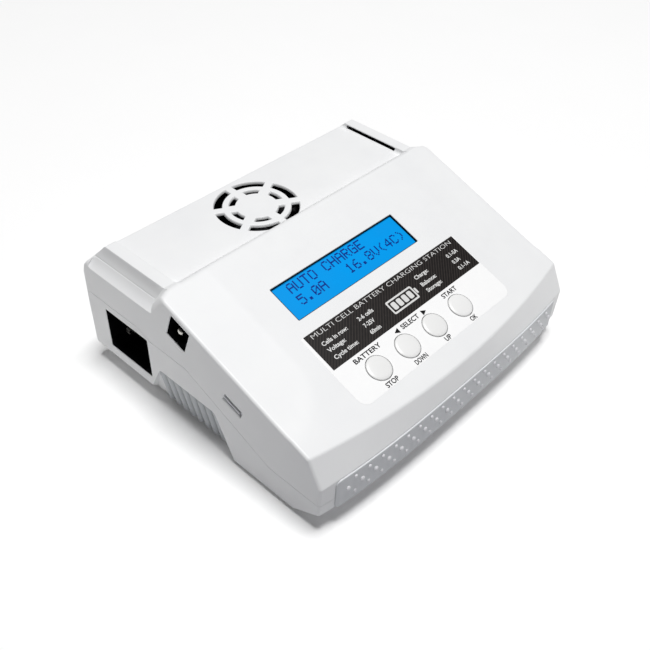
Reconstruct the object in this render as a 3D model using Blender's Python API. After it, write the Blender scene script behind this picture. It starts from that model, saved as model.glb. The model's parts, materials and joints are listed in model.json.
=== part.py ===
"""Balance battery charger for model batteries: an assembly of separate solids.

Frame: +X right, +Y to the rear, +Z up; the operator faces the sloped console from -Y.
The origin is the centre of the footprint at the level of the rubber feet.
Lengths below are millimetres and are scaled to metres when a mesh is made.
"""
import math

import bmesh
import bpy
from mathutils import Matrix, Vector

MM = 0.001
GAP = 0.3  # clearance between neighbouring pieces

# Case
HALF_WIDTH = 70.3
WALL = 2.2
UNDERSIDE_Z = 1.5
REAR_Y = 63.3
BACKING_END_Y = 58.2  # thickened lower side wall ends inside the sloped rear foot
RAIL_Z = 56.8
DECK_Z = 54.7
LEDGE_Z = 47.9
RAIL_INNER = 60.5
SIDE_EDGE_R = 1.0

# Sloped console panel: local frame (u right, v down the slope from the crest, n out of the panel)
SLOPE = math.radians(20.1)
CREST_Y, CREST_Z = 14.24, 57.70
PANEL_T = 2.3

# Split between the two case halves, as (y, z) from rear to front
PARTING = [(80, 34.2), (31, 34.2), (26, 31.6), (5.5, 31.6), (-35.5, 13.6), (-80, 13.6)]

# Console
LCD_U, LCD_V, LCD_W, LCD_H = -4.56, 25.13, 64.5, 15.3
LABEL_HALF, LABEL_V0, LABEL_V1, LABEL_R = 42.0, 38.6, 70.6, 4.0
LABEL_T = 0.3
BUTTON_V, BUTTON_U0, BUTTON_PITCH = 62.66, -26.66, 15.26
BUTTON_R = 5.1
BUTTON_RAISE = 0.7
BUTTON_NAMES = ("stop", "dec", "inc", "start")
BOARD_N = -13.7
BOARD_T = 1.6

# Fan grille and fan
FAN_X, FAN_Y = -7.45, 35.3
GRILLE_RINGS = ((13.3, 16.5, 3.4), (8.4, 10.7, 4.4))
FAN_SIZE, FAN_H = 40.0, 10.0
FAN_TOP = 50.0
FAN_BLADES = 7

# Left side connectors
INLET_Y, INLET_Z, INLET_W, INLET_H = 39.15, 21.8, 24.1, 17.7
JACK_V, JACK_N, JACK_W, JACK_H = 10.2, -8.15, 9.1, 10.4
PORT_V, PORT_N, PORT_W, PORT_H = 39.9, -13.7, 9.0, 3.2

# Right side connectors
SOCKET_YS, SOCKET_Z, SOCKET_R = (32.5, 48.5), 26.5, 4.0
XH_PITCH, XH_EXTRA, XH_THICK, XH_DEEP = 2.5, 4.8, 5.75, 7.0
BALANCE_ROWS = (((2, -7.4), (3, 4.1), (4, 18.2)), ((5, -2.9), (6, 16.15)))
BALANCE_Z = (42.0, 35.9)

# Side vents
VENT_TOP = 20.0
VENT_COUNT, VENT_PITCH, VENT_Y0, VENT_W = 7, 4.18, 20.0, 1.9
VENT_HIGH, VENT_SILL = 17.8, 5.0
VENT_WRAP_X = 62.0  # the slots run on under the case as far in as this

# Front grip strip
GRIP_HALF, GRIP_Z0, GRIP_Z1, GRIP_OUT, GRIP_T = 63.8, 8.7, 21.8, 0.6, 1.6
PIP_GROUPS, PIP_PITCH, PIP_STEP, PIP_R = 17, 7.2, 3.1, 0.75

# Boards, feet and screws
MAIN_Z = 6.5
FOOT_XY = ((-52, -34), (52, -34), (-52, 46), (52, 46))
FOOT_R, FOOT_H = 5.0, 2.1
SCREW_XY = ((-61, -40), (61, -40), (-61, 56.8), (61, 56.8))

for old in list(bpy.data.objects):
    bpy.data.objects.remove(old, do_unlink=True)


# ---------------------------------------------------------------- materials
def material(name, colour, rough=0.5, metal=0.0, transmission=0.0, coat=0.0):
    mat = bpy.data.materials.new(name)
    mat.use_nodes = True
    shader = mat.node_tree.nodes["Principled BSDF"]
    shader.inputs["Base Color"].default_value = (*colour, 1.0)
    shader.inputs["Roughness"].default_value = rough
    shader.inputs["Metallic"].default_value = metal
    shader.inputs["Transmission Weight"].default_value = transmission
    shader.inputs["Coat Weight"].default_value = coat
    mat.diffuse_color = (*colour, 1.0)
    return mat


SHELL_WHITE = ("shell_white_abs", (0.83, 0.84, 0.85), 0.38)
BLACK_NYLON = ("black_nylon", (0.015, 0.015, 0.017), 0.42)
BOARD_GREEN = ("board_green_fr4", (0.02, 0.16, 0.07), 0.35)
NICKEL = ("nickel_plate", (0.72, 0.71, 0.68), 0.25, 1.0)
BRASS = ("gold_flash_brass", (0.83, 0.62, 0.26), 0.25, 1.0)
RUBBER = ("rubber_grey", (0.05, 0.05, 0.055), 0.85)
STEEL = ("zinc_steel", (0.6, 0.6, 0.62), 0.32, 1.0)
ALUMINIUM = ("aluminium_grey", (0.55, 0.56, 0.58), 0.35, 1.0)


# ---------------------------------------------------------------- geometry helpers
def add(name, bm, finish=None, smooth=0.0, matrix=None, helper=False):
    """Turn a bmesh in millimetres into an object; smooth is the auto-smooth angle in degrees."""
    bmesh.ops.recalc_face_normals(bm, faces=bm.faces)
    bmesh.ops.scale(bm, vec=(MM, MM, MM), verts=bm.verts)
    mesh = bpy.data.meshes.new(name)
    bm.to_mesh(mesh)
    bm.free()
    obj = bpy.data.objects.new(name, mesh)
    bpy.context.scene.collection.objects.link(obj)
    if matrix is not None:
        mesh.transform(matrix)
    if finish is not None:
        mesh.materials.append(material(name + "_" + finish[0], *finish[1:]))
    if smooth:
        mesh.shade_smooth()
        mesh.set_sharp_from_angle(angle=math.radians(smooth))
    if helper:
        obj.hide_render = True
        obj.display_type = "WIRE"
    return obj


def loft(rings, close_ends=True):
    """Skin a list of equally long point rings."""
    bm = bmesh.new()
    layers = [[bm.verts.new(p) for p in ring] for ring in rings]
    count = len(layers[0])
    for a, b in zip(layers, layers[1:]):
        for i in range(count):
            j = (i + 1) % count
            bm.faces.new((a[i], a[j], b[j], b[i]))
    if close_ends:
        bm.faces.new(layers[0])
        bm.faces.new(layers[-1])
    return bm


def prism(points, low, high, axis="x"):
    """Extrude a flat outline. Outline pairs are (y, z) for x, (x, z) for y and (x, y) for z."""
    place = {
        "x": lambda p, h: (h, p[0], p[1]),
        "y": lambda p, h: (p[0], h, p[1]),
        "z": lambda p, h: (p[0], p[1], h),
    }[axis]
    return loft([[place(p, low) for p in points], [place(p, high) for p in points]])


def block(x0, x1, y0, y1, z0, z1):
    return prism([(x0, y0), (x1, y0), (x1, y1), (x0, y1)], z0, z1, "z")


def circle(cx, cy, radius, count, start=0.0):
    step = 2 * math.pi / count
    return [(cx + radius * math.cos(start + i * step), cy + radius * math.sin(start + i * step))
            for i in range(count)]


def drum(cx, cy, radius, low, high, axis="z", count=20):
    return prism(circle(cx, cy, radius, count), low, high, axis)


def lathe(outline, count=24, centre=(0, 0, 0), axis="z"):
    """Turn an outline of (radius, height) pairs about an axis through centre; ends lie on the axis."""
    bm = bmesh.new()
    turn = {"z": lambda a, b, h: (a, b, h), "x": lambda a, b, h: (h, a, b)}[axis]
    rings = []
    for radius, height in outline:
        if radius < 1e-6:
            rings.append([bm.verts.new(Vector(turn(0, 0, height)) + Vector(centre))])
            continue
        rings.append([bm.verts.new(Vector(turn(a, b, height)) + Vector(centre))
                      for a, b in circle(0, 0, radius, count)])
    for low, high in zip(rings, rings[1:]):
        for i in range(count):
            j = (i + 1) % count
            if len(low) == 1:
                bm.faces.new((low[0], high[i], high[j]))
            elif len(high) == 1:
                bm.faces.new((low[i], low[j], high[0]))
            else:
                bm.faces.new((low[i], low[j], high[j], high[i]))
    return bm


def rounded(points, radii, steps=4):
    """Replace the corners of an outline with arcs; the point count stays the same for a given input."""
    out = []
    count = len(points)
    for i, point in enumerate(points):
        radius = radii[i]
        here = Vector(point)
        if radius <= 0:
            out.append(tuple(here))
            continue
        before = (Vector(points[i - 1]) - here).normalized()
        after = (Vector(points[(i + 1) % count]) - here).normalized()
        half = math.acos(max(-1, min(1, before.dot(after)))) / 2
        reach = radius / math.tan(half)
        start, end = here + before * reach, here + after * reach
        centre = here + (before + after).normalized() * (radius / math.sin(half))
        a, b = start - centre, end - centre
        for k in range(steps + 1):
            spoke = a.lerp(b, k / steps)
            swept = a.angle(b) if a.length and b.length else 0
            blend = k / steps
            if swept > 1e-4:
                spoke = (a * math.sin((1 - blend) * swept) + b * math.sin(blend * swept)) / math.sin(swept)
            out.append(tuple(centre + spoke))
    return out


def inset(points, amount):
    """Move every side of an outline inward by amount, keeping the point count."""
    count = len(points)
    area = sum(points[i - 1][0] * points[i][1] - points[i][0] * points[i - 1][1] for i in range(count))
    turn = 1 if area > 0 else -1
    out = []
    for i in range(count):
        here = Vector(points[i])
        a = (here - Vector(points[i - 1])).normalized()
        b = (Vector(points[(i + 1) % count]) - here).normalized()
        na, nb = Vector((-a.y, a.x)) * turn, Vector((-b.y, b.x)) * turn
        mid = (na + nb).normalized()
        out.append(tuple(here + mid * amount / max(0.3, mid.dot(na))))
    return out


def rounded_box(half_a, half_b, radius, steps=4, centre=(0, 0)):
    ca, cb = centre
    corners = [(ca - half_a, cb - half_b), (ca + half_a, cb - half_b),
               (ca + half_a, cb + half_b), (ca - half_a, cb + half_b)]
    return rounded(corners, [radius] * 4, steps)


def boolean(target, others, kind):
    for other in others:
        step = target.modifiers.new("step", "BOOLEAN")
        step.operation = kind
        step.solver = "EXACT"
        step.object = other
        graph = bpy.context.evaluated_depsgraph_get()
        mesh = bpy.data.meshes.new_from_object(target.evaluated_get(graph))
        target.modifiers.clear()
        target.data = mesh
        bpy.data.objects.remove(other, do_unlink=True)
    return target


def tidy(target, smooth=30.0):
    """Drop doubled points and thin leftovers of the cuts, then mark the sharp edges."""
    bm = bmesh.new()
    bm.from_mesh(target.data)
    bmesh.ops.remove_doubles(bm, verts=bm.verts, dist=2e-6)
    bmesh.ops.dissolve_degenerate(bm, edges=bm.edges, dist=1e-6)
    bm.to_mesh(target.data)
    bm.free()
    while len(target.data.materials) > 1:
        target.data.materials.pop()
    for face in target.data.polygons:
        face.material_index = 0
    if smooth:
        target.data.shade_smooth()
        target.data.set_sharp_from_angle(angle=math.radians(smooth))
    return target


def cut(target, *meshes):
    return boolean(target, [add("cutter", bm, helper=True) for bm in meshes], "DIFFERENCE")


def fuse(target, *meshes):
    return boolean(target, [add("fused", bm, helper=True) for bm in meshes], "UNION")


# Panel frame: columns are u, up-slope and n; the origin is on the crest line.
PANEL = Matrix(((1, 0, 0, 0),
                (0, math.cos(SLOPE), -math.sin(SLOPE), CREST_Y),
                (0, math.sin(SLOPE), math.cos(SLOPE), CREST_Z),
                (0, 0, 0, 1)))


def on_panel(bm):
    """Move a mesh built as (u, -v, n) into the frame of the object."""
    bmesh.ops.transform(bm, matrix=PANEL, verts=bm.verts)
    return bm


def panel_block(u0, u1, v0, v1, n0, n1):
    return on_panel(block(u0, u1, -v1, -v0, n0, n1))


def panel_z(y):
    return CREST_Z - (CREST_Y - y) * math.tan(SLOPE)


# ---------------------------------------------------------------- case
def front_lines(x):
    """y of the chamfer top, of the front face and of the foot of the front face at x."""
    far = abs(x) / HALF_WIDTH
    return -60.2 + 6.7 * far ** 2, -62.5 + 3.5 * far ** 3, -62.6 + 4.2 * far ** 3


def side_fall(x, v):
    """The outer strips of the panel tilt gently outward above the label."""
    over = max(0.0, (abs(x) - 50.0) / 20.3)
    fade = min(1.0, max(0.0, (62.0 - v) / 12.0))
    return 0.6 * over * fade


def corner_shift(x):
    """How far the outer ends of the crest and of the rear wall are drawn in by their rounded corners."""
    over = max(0.0, abs(x) - 66.0) / (HALF_WIDTH - 66.0)
    return 2.2 * over ** 3


def top_height(x):
    """Level behind the crest: sunk deck, raised rail, coved foot of the rail, ledge."""
    profile = ((60.3, DECK_Z), (60.6, RAIL_Z), (65.2, RAIL_Z), (65.6, RAIL_Z - 0.4), (65.9, 50.6),
               (66.6, 49.0), (67.8, 48.1), (69.3, LEDGE_Z), (99, LEDGE_Z))
    for (x0, z0), (x1, z1) in zip(((0, DECK_Z),) + profile, profile):
        if abs(x) <= x1:
            return z0 + (z1 - z0) * (abs(x) - x0) / (x1 - x0)


def case_outline(x):
    top, face, foot = front_lines(x)
    shift, level = corner_shift(x), top_height(x)
    panel = [(y, panel_z(y) - side_fall(x, (CREST_Y - y) / math.cos(SLOPE))) for y in (top, -30.0, -2.0)]
    crest = 16.3 - shift
    riser = 19.0 + (RAIL_Z - level) * 0.62 - shift
    edge = 60.4 - (level - LEDGE_Z) * 0.94 - shift
    rear = REAR_Y - shift
    points = [(face, 22.1)] + panel + [
        (crest, panel_z(crest) - side_fall(x, 0)), (riser, level), (edge, level), (rear - 1.7, 46.5),
        (rear - 0.5, 43.0), (rear, 28.0), (rear, 10.0), (rear - 0.4, 6.4), (57.6 - shift, UNDERSIDE_Z),
        (-46.4, UNDERSIDE_Z), (foot, 8.2)]
    radii = [1.4, 1.4, 0, 0, 2.2, 0, 0.8, 0, 0, 0, 0, 0, 0, 0, 1.4]
    return rounded(points, radii, 2)


HALF_STATIONS = [30, 50, 60.3, 60.6, 65.2, 65.6, 65.9, 66.6, 67.8, 69.3, 70.0, HALF_WIDTH]
STATIONS = [-x for x in reversed(HALF_STATIONS)] + [0] + HALF_STATIONS


def case_solid():
    rings = []
    for x in STATIONS:
        over = max(0.0, abs(x) - (HALF_WIDTH - SIDE_EDGE_R))
        depth = 0.7 * (SIDE_EDGE_R - math.sqrt(max(0.0, SIDE_EDGE_R ** 2 - over ** 2)))
        ring = inset(case_outline(x), depth) if depth else case_outline(x)
        rings.append([(x, y, z) for y, z in ring])
    return loft(rings)


def case_room():
    """The hollow of the case: high under the deck, lower beside it under the ledges."""
    rings = []
    for x in (-68.1, -63.4, -63.1, -30, 0, 30, 63.1, 63.4, 68.1):
        top, face, foot = front_lines(x)
        drop = PANEL_T / math.cos(SLOPE)
        high = abs(x) < 63.3
        roof = DECK_Z - WALL if high else LEDGE_Z - WALL
        ring = [(face + WALL, 21.3), (top + 1.5, panel_z(top + 1.5) - drop),
                (-30.0, panel_z(-30.0) - drop - side_fall(x, 40)),
                (12.4, panel_z(12.4) - drop - side_fall(x, 0)),
                (17.6 if high else 18.6, roof), (54.0 if high else 59.0, roof), (REAR_Y - WALL - 1.2, 44.6),
                (REAR_Y - WALL - 0.3, 40.0), (REAR_Y - WALL, 8.4), (57.0, UNDERSIDE_Z + 2.0),
                (-45.8, UNDERSIDE_Z + 2.0), (foot + WALL, 9.6)]
        rings.append([(x, y, z) for y, z in ring])
    return loft(rings)


def above_parting(lift):
    line = [(y, z + lift) for y, z in PARTING]
    return prism(line + [(-80, 90), (80, 90)], -90, 90)


def below_parting():
    return prism(PARTING + [(-80, -20), (80, -20)], -90, 90)


def grille_slots():
    """Six arc slots in each of two rings, left between six spokes."""
    made = []
    for inner, outer, spoke in GRILLE_RINGS:
        for k in range(6):
            middle = math.radians(60 * k)
            ends = [math.pi / 6 - math.asin(spoke / 2 / r) for r in (outer, inner)]
            steps = 6
            arc = [(outer, middle - ends[0] + 2 * ends[0] * i / steps) for i in range(steps + 1)]
            arc += [(inner, middle + ends[1] - 2 * ends[1] * i / steps) for i in range(steps + 1)]
            ring = [(FAN_X + r * math.cos(t), FAN_Y + r * math.sin(t)) for r, t in arc]
            made.append(prism(ring, DECK_Z - 4, DECK_Z + 3, "z"))
    return made


def rail_slot(side):
    """Long air slot in the upright inner face of a rail, open down into the case."""
    low, high = sorted((side * (RAIL_INNER - 0.6), side * (RAIL_INNER + 2.4)))
    return block(low, high, 23.4, 50.8, 50.5, RAIL_Z - 0.55)


def front_pocket():
    rings = []
    for x in (-64.1, -50, -25, 0, 25, 50, 64.1):
        face = front_lines(x)[1]
        y0, y1 = face - 5, face + GRIP_T - GRIP_OUT + GAP
        rings.append([(x, y0, GRIP_Z0 - GAP), (x, y1, GRIP_Z0 - GAP), (x, y1, GRIP_Z1 + GAP),
                      (x, y0, GRIP_Z1 + GAP)])
    return loft(rings)


def label_outline(grow=0.0):
    half_v = (LABEL_V1 - LABEL_V0) / 2
    mid = -(LABEL_V0 + LABEL_V1) / 2
    half = LABEL_HALF + grow
    corners = [(-half, mid - half_v - grow), (half, mid - half_v - grow),
               (half, mid + half_v + grow), (-half, mid + half_v + grow)]
    return rounded(corners, [LABEL_R, LABEL_R, 0.6, 0.6], 4)


def button_u(k):
    return BUTTON_U0 + BUTTON_PITCH * k


def panel_drum(u, v, radius, n0, n1, count=28):
    return on_panel(drum(u, -v, radius, n0, n1, "z", count))


def jack_block(grow, x0, x1):
    return panel_block(x0, x1, JACK_V - JACK_W / 2 - grow, JACK_V + JACK_W / 2 + grow,
                       JACK_N - JACK_H / 2 - grow, JACK_N + JACK_H / 2 + grow)


def port_block(grow, x0, x1):
    return panel_block(x0, x1, PORT_V - PORT_W / 2 - grow, PORT_V + PORT_W / 2 + grow,
                       PORT_N - PORT_H / 2 - grow, PORT_N + PORT_H / 2 + grow)


def header_length(cells):
    return XH_PITCH * cells + XH_EXTRA


def balance_headers():
    for row, z in zip(BALANCE_ROWS, BALANCE_Z):
        for cells, y in row:
            yield cells, y, z


def build_top():
    shell = add("top_shell", case_solid(), SHELL_WHITE)
    cut(shell, case_room(), below_parting(), front_pocket())
    cut(shell, *grille_slots())
    cut(shell, rail_slot(-1), rail_slot(1))
    # posts for the case screws, and the four that carry the control board
    for x, y in SCREW_XY:
        z0 = 20.3 if y < 0 else 34.8
        z1 = panel_z(y) - 1.6 if y < 0 else DECK_Z - 1.2
        fuse(shell, drum(x, y, 3.2, z0, z1, "z", 16))
        cut(shell, drum(x, y, 1.5, z0 - 1, z0 + 12, "z", 12))
    for dx in (-16, 16):
        for dy in (-16, 16):
            fuse(shell, drum(FAN_X + dx, FAN_Y + dy, 2.3, FAN_TOP + GAP, DECK_Z - WALL + 0.7, "z", 10))
    for u in (-53, 53):
        for v in (22, 70):
            fuse(shell, panel_drum(u, v, 2.4, BOARD_N + GAP, -PANEL_T + 0.8, 12))
    # panel openings
    cut(shell, on_panel(prism(label_outline(GAP), -LABEL_T - GAP, 5, "z")))
    cut(shell, panel_block(LCD_U - LCD_W / 2, LCD_U + LCD_W / 2, LCD_V - LCD_H / 2, LCD_V + LCD_H / 2,
                           -8, 5))
    cut(shell, *[panel_drum(button_u(k), BUTTON_V, BUTTON_R + GAP, -8, 3) for k in range(4)])
    # side openings
    cut(shell, jack_block(GAP, -80, -60), port_block(GAP, -80, -60))
    for cells, y, z in balance_headers():
        half = header_length(cells) / 2 + GAP
        cut(shell, block(60, 80, y - half, y + half, z - XH_THICK / 2 - GAP, z + XH_THICK / 2 + GAP))
    return tidy(shell)


def vent_recess(side):
    """Leaning hollow low on each side, deeper toward the bottom."""
    outline = [(21.2, VENT_TOP), (-8.5, VENT_TOP), (-18.6, 0), (31.6, 0)]
    body = add("recess", prism(outline, 50 * side, 90 * side), helper=True)
    lean = [(HALF_WIDTH - 0.9, VENT_TOP + 1), (90, VENT_TOP + 1), (90, -8), (HALF_WIDTH - 6.2, -8)]
    wedge = prism([(side * x, z) for x, z in lean], -40, 60, "y")
    return boolean(body, [add("wedge", wedge, helper=True)], "INTERSECT")


def build_bottom():
    shell = add("bottom_shell", case_solid(), SHELL_WHITE)
    cut(shell, case_room(), above_parting(-GAP), front_pocket())
    for side in (-1, 1):
        # inner wall behind the leaning vent hollow, then the hollow and its slots
        liner = [(-20.0, 2.6), (32.5, 2.6), (32.5, 6.0), (27.0, 12.3), (25.8, 12.3), (25.8, 21.4),
                 (-15.0, 21.4), (-20.0, 18.0)]
        fuse(shell, prism(liner, *sorted((side * (HALF_WIDTH - 7.4), side * (HALF_WIDTH - 1.2)))))
        # thicker wall low at the rear, behind the chamfer that is cut further down
        backing = [(63.5, 2.6), (69.2, 2.6), (69.2, 9.6), (67.6, 9.6)]
        fuse(shell, prism([(side * x, z) for x, z in backing], 24.0, BACKING_END_Y, "y"))
        boolean(shell, [vent_recess(side)], "DIFFERENCE")
        slot = [(55, VENT_HIGH), (90, VENT_HIGH), (90, -1), (VENT_WRAP_X, -1), (VENT_WRAP_X, VENT_SILL),
                (55, VENT_SILL)]
        slot = [(side * x, z) for x, z in slot]
        for k in range(VENT_COUNT):
            y = VENT_Y0 - VENT_PITCH * k
            cut(shell, prism(slot, y - VENT_W / 2, y + VENT_W / 2, "y"))
        # lower rear edge of the side wall is broken by a wide chamfer
        edge = [(71.5, 9.9), (64.8, 0.5), (80, 0.5), (80, 9.9)]
        cut(shell, prism([(side * x, z) for x, z in edge], 20, 80, "y"))
    for x, y in SCREW_XY:
        z1 = 20.0 if y < 0 else PARTING[0][1]
        fuse(shell, drum(x, y, 3.4, UNDERSIDE_Z + 1.2, z1, "z", 16))
        cut(shell, drum(x, y, 1.7, 0, z1 + 2, "z", 12), drum(x, y, 3.05, -1, 9.0, "z", 16))
    for x, y in FOOT_XY:
        cut(shell, drum(x, y, FOOT_R + GAP, -1, FOOT_H + GAP, "z", 20))
    for x in (-48, 48):
        for y in (-30, 12):
            fuse(shell, drum(x, y, 3.0, UNDERSIDE_Z + 1.2, MAIN_Z - GAP, "z", 12))
    half_w, half_h = INLET_W / 2 + GAP, INLET_H / 2 + GAP
    cut(shell, block(-80, -60, INLET_Y - half_w, INLET_Y + half_w, INLET_Z - half_h, INLET_Z + half_h))
    for y in SOCKET_YS:
        cut(shell, drum(y, SOCKET_Z, SOCKET_R + GAP, 60, 80, "x", 24))
    return tidy(shell)


def build_grip():
    """Bowed strip across the front with rows of three raised pips."""
    rings = []
    for x in (-63.8, -63.3, -50, -36, -18, 0, 18, 36, 50, 63.3, 63.8):
        face = front_lines(x)[1] - GRIP_OUT
        end = 0.5 if abs(x) > 63.5 else 0.0
        rings.append([(x, face + GRIP_T, GRIP_Z0), (x, face + GRIP_T, GRIP_Z1), (x, face + end, GRIP_Z1),
                      (x, face + end, GRIP_Z0)])
    strip = add("front_grip", loft(rings), SHELL_WHITE)
    bm = bmesh.new()
    for k in range(PIP_GROUPS):
        for row in range(3):
            x = (k - (PIP_GROUPS - 1) / 2) * PIP_PITCH + (row - 1) * PIP_STEP
            z = 18.6 - row * PIP_STEP
            face = front_lines(x)[1] - GRIP_OUT
            at = Matrix.Translation((x, face + 0.3, z)) @ Matrix.Rotation(math.pi / 2, 4, "X")
            bmesh.ops.create_cone(bm, cap_ends=True, segments=6, radius1=PIP_R, radius2=PIP_R * 0.45,
                                  depth=1.1, matrix=at)
    fuse(strip, bm)
    return tidy(strip, 0)


# ---------------------------------------------------------------- console pieces
def build_label():
    label = add("panel_label", on_panel(prism(label_outline(), -LABEL_T, 0, "z")),
                ("label_film", (0.93, 0.93, 0.93), 0.35))
    cut(label, *[panel_drum(button_u(k), BUTTON_V, BUTTON_R + 2 * GAP, -3, 3) for k in range(4)])
    return tidy(label, 0)


def build_display():
    half_w, half_h = LCD_W / 2 - GAP, LCD_H / 2 - GAP
    add("lcd_window", panel_block(LCD_U - half_w, LCD_U + half_w, LCD_V - half_h, LCD_V + half_h, -2.2, -0.7),
        ("clear_acrylic", (0.75, 0.9, 1.0), 0.05, 0.0, 0.9))
    frame = add("lcd_bezel", panel_block(LCD_U - 35.6, LCD_U + 35.6, LCD_V - 12.1, LCD_V + 12.1, -8.9, -2.6),
                ("black_tinplate", (0.02, 0.02, 0.022), 0.4, 0.6))
    cut(frame, panel_block(LCD_U - 33.4, LCD_U + 33.4, LCD_V - 9.0, LCD_V + 9.0, -12, 0))
    tidy(frame, 0)
    add("lcd_cell", panel_block(LCD_U - 33.1, LCD_U + 33.1, LCD_V - 8.7, LCD_V + 8.7, -5.4, -3.2),
        ("blue_lcd", (0.0, 0.33, 0.82), 0.12))
    add("lcd_backlight", panel_block(LCD_U - 33.1, LCD_U + 33.1, LCD_V - 8.7, LCD_V + 8.7, -8.8, -5.7),
        ("light_guide", (0.85, 0.9, 0.95), 0.3))
    add("lcd_board", panel_block(LCD_U - 40, LCD_U + 40, 7.2, 43.2, -10.9, -9.3), BOARD_GREEN)
    # pin header that joins the display board to the control board
    add("lcd_header", panel_block(LCD_U - 38.5, LCD_U + 0.5, 8.4, 10.9, BOARD_N + GAP, -11.2), BLACK_NYLON)


def build_buttons():
    for k, name in enumerate(BUTTON_NAMES):
        centre = PANEL @ Vector((button_u(k), -BUTTON_V, 0.0))
        place = Matrix.Translation(centre * MM) @ Matrix.Rotation(SLOPE, 4, "X")
        cap = lathe([(0, -7.6), (1.9, -7.6), (1.9, -2.9), (BUTTON_R + 1.5, -2.9),
                     (BUTTON_R + 1.5, -2.65), (BUTTON_R, -2.65), (BUTTON_R, 0.25),
                     (BUTTON_R - 0.25, 0.5), (BUTTON_R * 0.55, BUTTON_RAISE - 0.05), (0, BUTTON_RAISE)], 22)
        button = add("button_" + name, cap, ("key_white_abs", (0.86, 0.87, 0.88), 0.3), 35)
        button.matrix_world = place
        plunger = add("plunger_" + name, lathe([(0, -10.3), (1.7, -10.3), (1.7, -7.9), (0, -7.9)], 16),
                      BLACK_NYLON, 40)
        plunger.matrix_world = place
        u = button_u(k)
        case = panel_block(u - 3, u + 3, BUTTON_V - 3, BUTTON_V + 3, BOARD_N + GAP, -9.6)
        body = add("switch_" + name, case, ("switch_black", (0.02, 0.02, 0.02), 0.4))
        cut(body, panel_drum(u, BUTTON_V, 2.0, -11.6, 0, 16))
        tidy(body, 0)


def build_control_board():
    board = add("control_board", panel_block(-56, 56, 6, 74, BOARD_N - BOARD_T, BOARD_N), BOARD_GREEN)
    cut(board, panel_block(-80, -56 + 1.5, PORT_V - 6.5, PORT_V + 6.5, -20, -10))
    tidy(board, 0)
    add("controller_chip", panel_block(-7, 7, 48, 62, BOARD_N - BOARD_T - GAP - 1.4, BOARD_N - BOARD_T - GAP),
        ("chip_epoxy", (0.03, 0.03, 0.032), 0.55))


# ---------------------------------------------------------------- connectors
def build_inlet():
    """Three-pin mains inlet: a hollow black body with chamfered lower corners and three flat blades."""
    face = -HALF_WIDTH + 0.1
    half_w, half_h = INLET_W / 2, INLET_H / 2
    y, z = INLET_Y, INLET_Z
    body = add("ac_inlet_body", block(face, -53.5, y - half_w, y + half_w, z - half_h, z + half_h),
               BLACK_NYLON)
    hole_w, hole_h, corner = half_w - 0.6, half_h - 0.6, 3.2
    hole = [(y - hole_w, z + hole_h), (y - hole_w, z - hole_h + corner), (y - hole_w + corner, z - hole_h),
            (y + hole_w - corner, z - hole_h), (y + hole_w, z - hole_h + corner), (y + hole_w, z + hole_h)]
    cut(body, prism(hole, face - 5, -56.0))
    fuse(body, block(-66.6, -53.5, y - half_w - 0.9, y + half_w + 0.9, z + half_h - 1.1, z + half_h + 1.0))
    pins = (("line", y - 7.0, z - 2.0, 2.0, 1.0), ("neutral", y + 7.0, z - 2.0, 2.0, 1.0),
            ("earth", y, z + 2.2, 2.0, 1.0))
    for name, py, pz, half_z, half_y in pins:
        cut(body, block(-58, -50, py - half_y - GAP, py + half_y + GAP, pz - half_z - GAP, pz + half_z + GAP))
        blade = [(-50.5, pz - half_z), (-50.5, pz + half_z), (-64.6, pz + half_z), (-65.6, pz + half_z - 1.0),
                 (-65.6, pz - half_z + 1.0), (-64.6, pz - half_z)]
        add("ac_pin_" + name, prism(blade, py - half_y, py + half_y, "y"), NICKEL)
    tidy(body, 0)


def build_jack():
    """Direct-current barrel jack that stands on the control board."""
    body = add("dc_jack_body", jack_block(0.0, -HALF_WIDTH + 0.2, -56.8), BLACK_NYLON)
    at_v, at_n = JACK_V, JACK_N + 0.4
    bore = drum(-at_v, at_n, 3.2, -80, -59.5, "x", 20)
    cut(body, on_panel(bore), on_panel(drum(-at_v, at_n, 1.55, -62, -50, "x", 12)))
    tidy(body, 30)
    pin = lathe([(0, -68.3), (0.7, -68.3), (1.25, -67.7), (1.25, -55.6), (0, -55.6)], 14,
                (0, -at_v, at_n), "x")
    add("dc_jack_pin", on_panel(pin), BRASS, 40)


def build_port():
    """Three-wire temperature probe socket, let into a notch of the control board."""
    body = add("temperature_port", port_block(0.0, -HALF_WIDTH + 0.8, -57.5), BLACK_NYLON)
    cut(body, panel_block(-80, -60.5, PORT_V - 3.7, PORT_V + 3.7, PORT_N - 0.9, PORT_N + 0.9))
    tidy(body, 0)


def build_sockets():
    colours = (("negative", (0.02, 0.02, 0.022)), ("positive", (0.5, 0.02, 0.02)))
    for (name, colour), y in zip(colours, SOCKET_YS):
        body = lathe([(0, 52.0), (3.3, 52.0), (3.3, 66.4), (5.4, 66.4), (5.4, 67.8), (SOCKET_R, 67.8),
                      (SOCKET_R, 70.1), (SOCKET_R - 0.3, 70.3), (0, 70.3)], 24, (0, y, SOCKET_Z), "x")
        socket = add("output_socket_" + name, body, ("socket_" + name, colour, 0.35))
        cut(socket, drum(y, SOCKET_Z, 2.75, 50, 80, "x", 20))
        tidy(socket, 35)
        sleeve = lathe([(0, 48.5), (2.45, 48.5), (2.45, 69.0), (0, 69.0)], 20, (0, y, SOCKET_Z), "x")
        contact = add("output_contact_" + name, sleeve, BRASS)
        cut(contact, drum(y, SOCKET_Z, 2.0, 51.5, 80, "x", 18))
        tidy(contact, 35)


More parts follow.
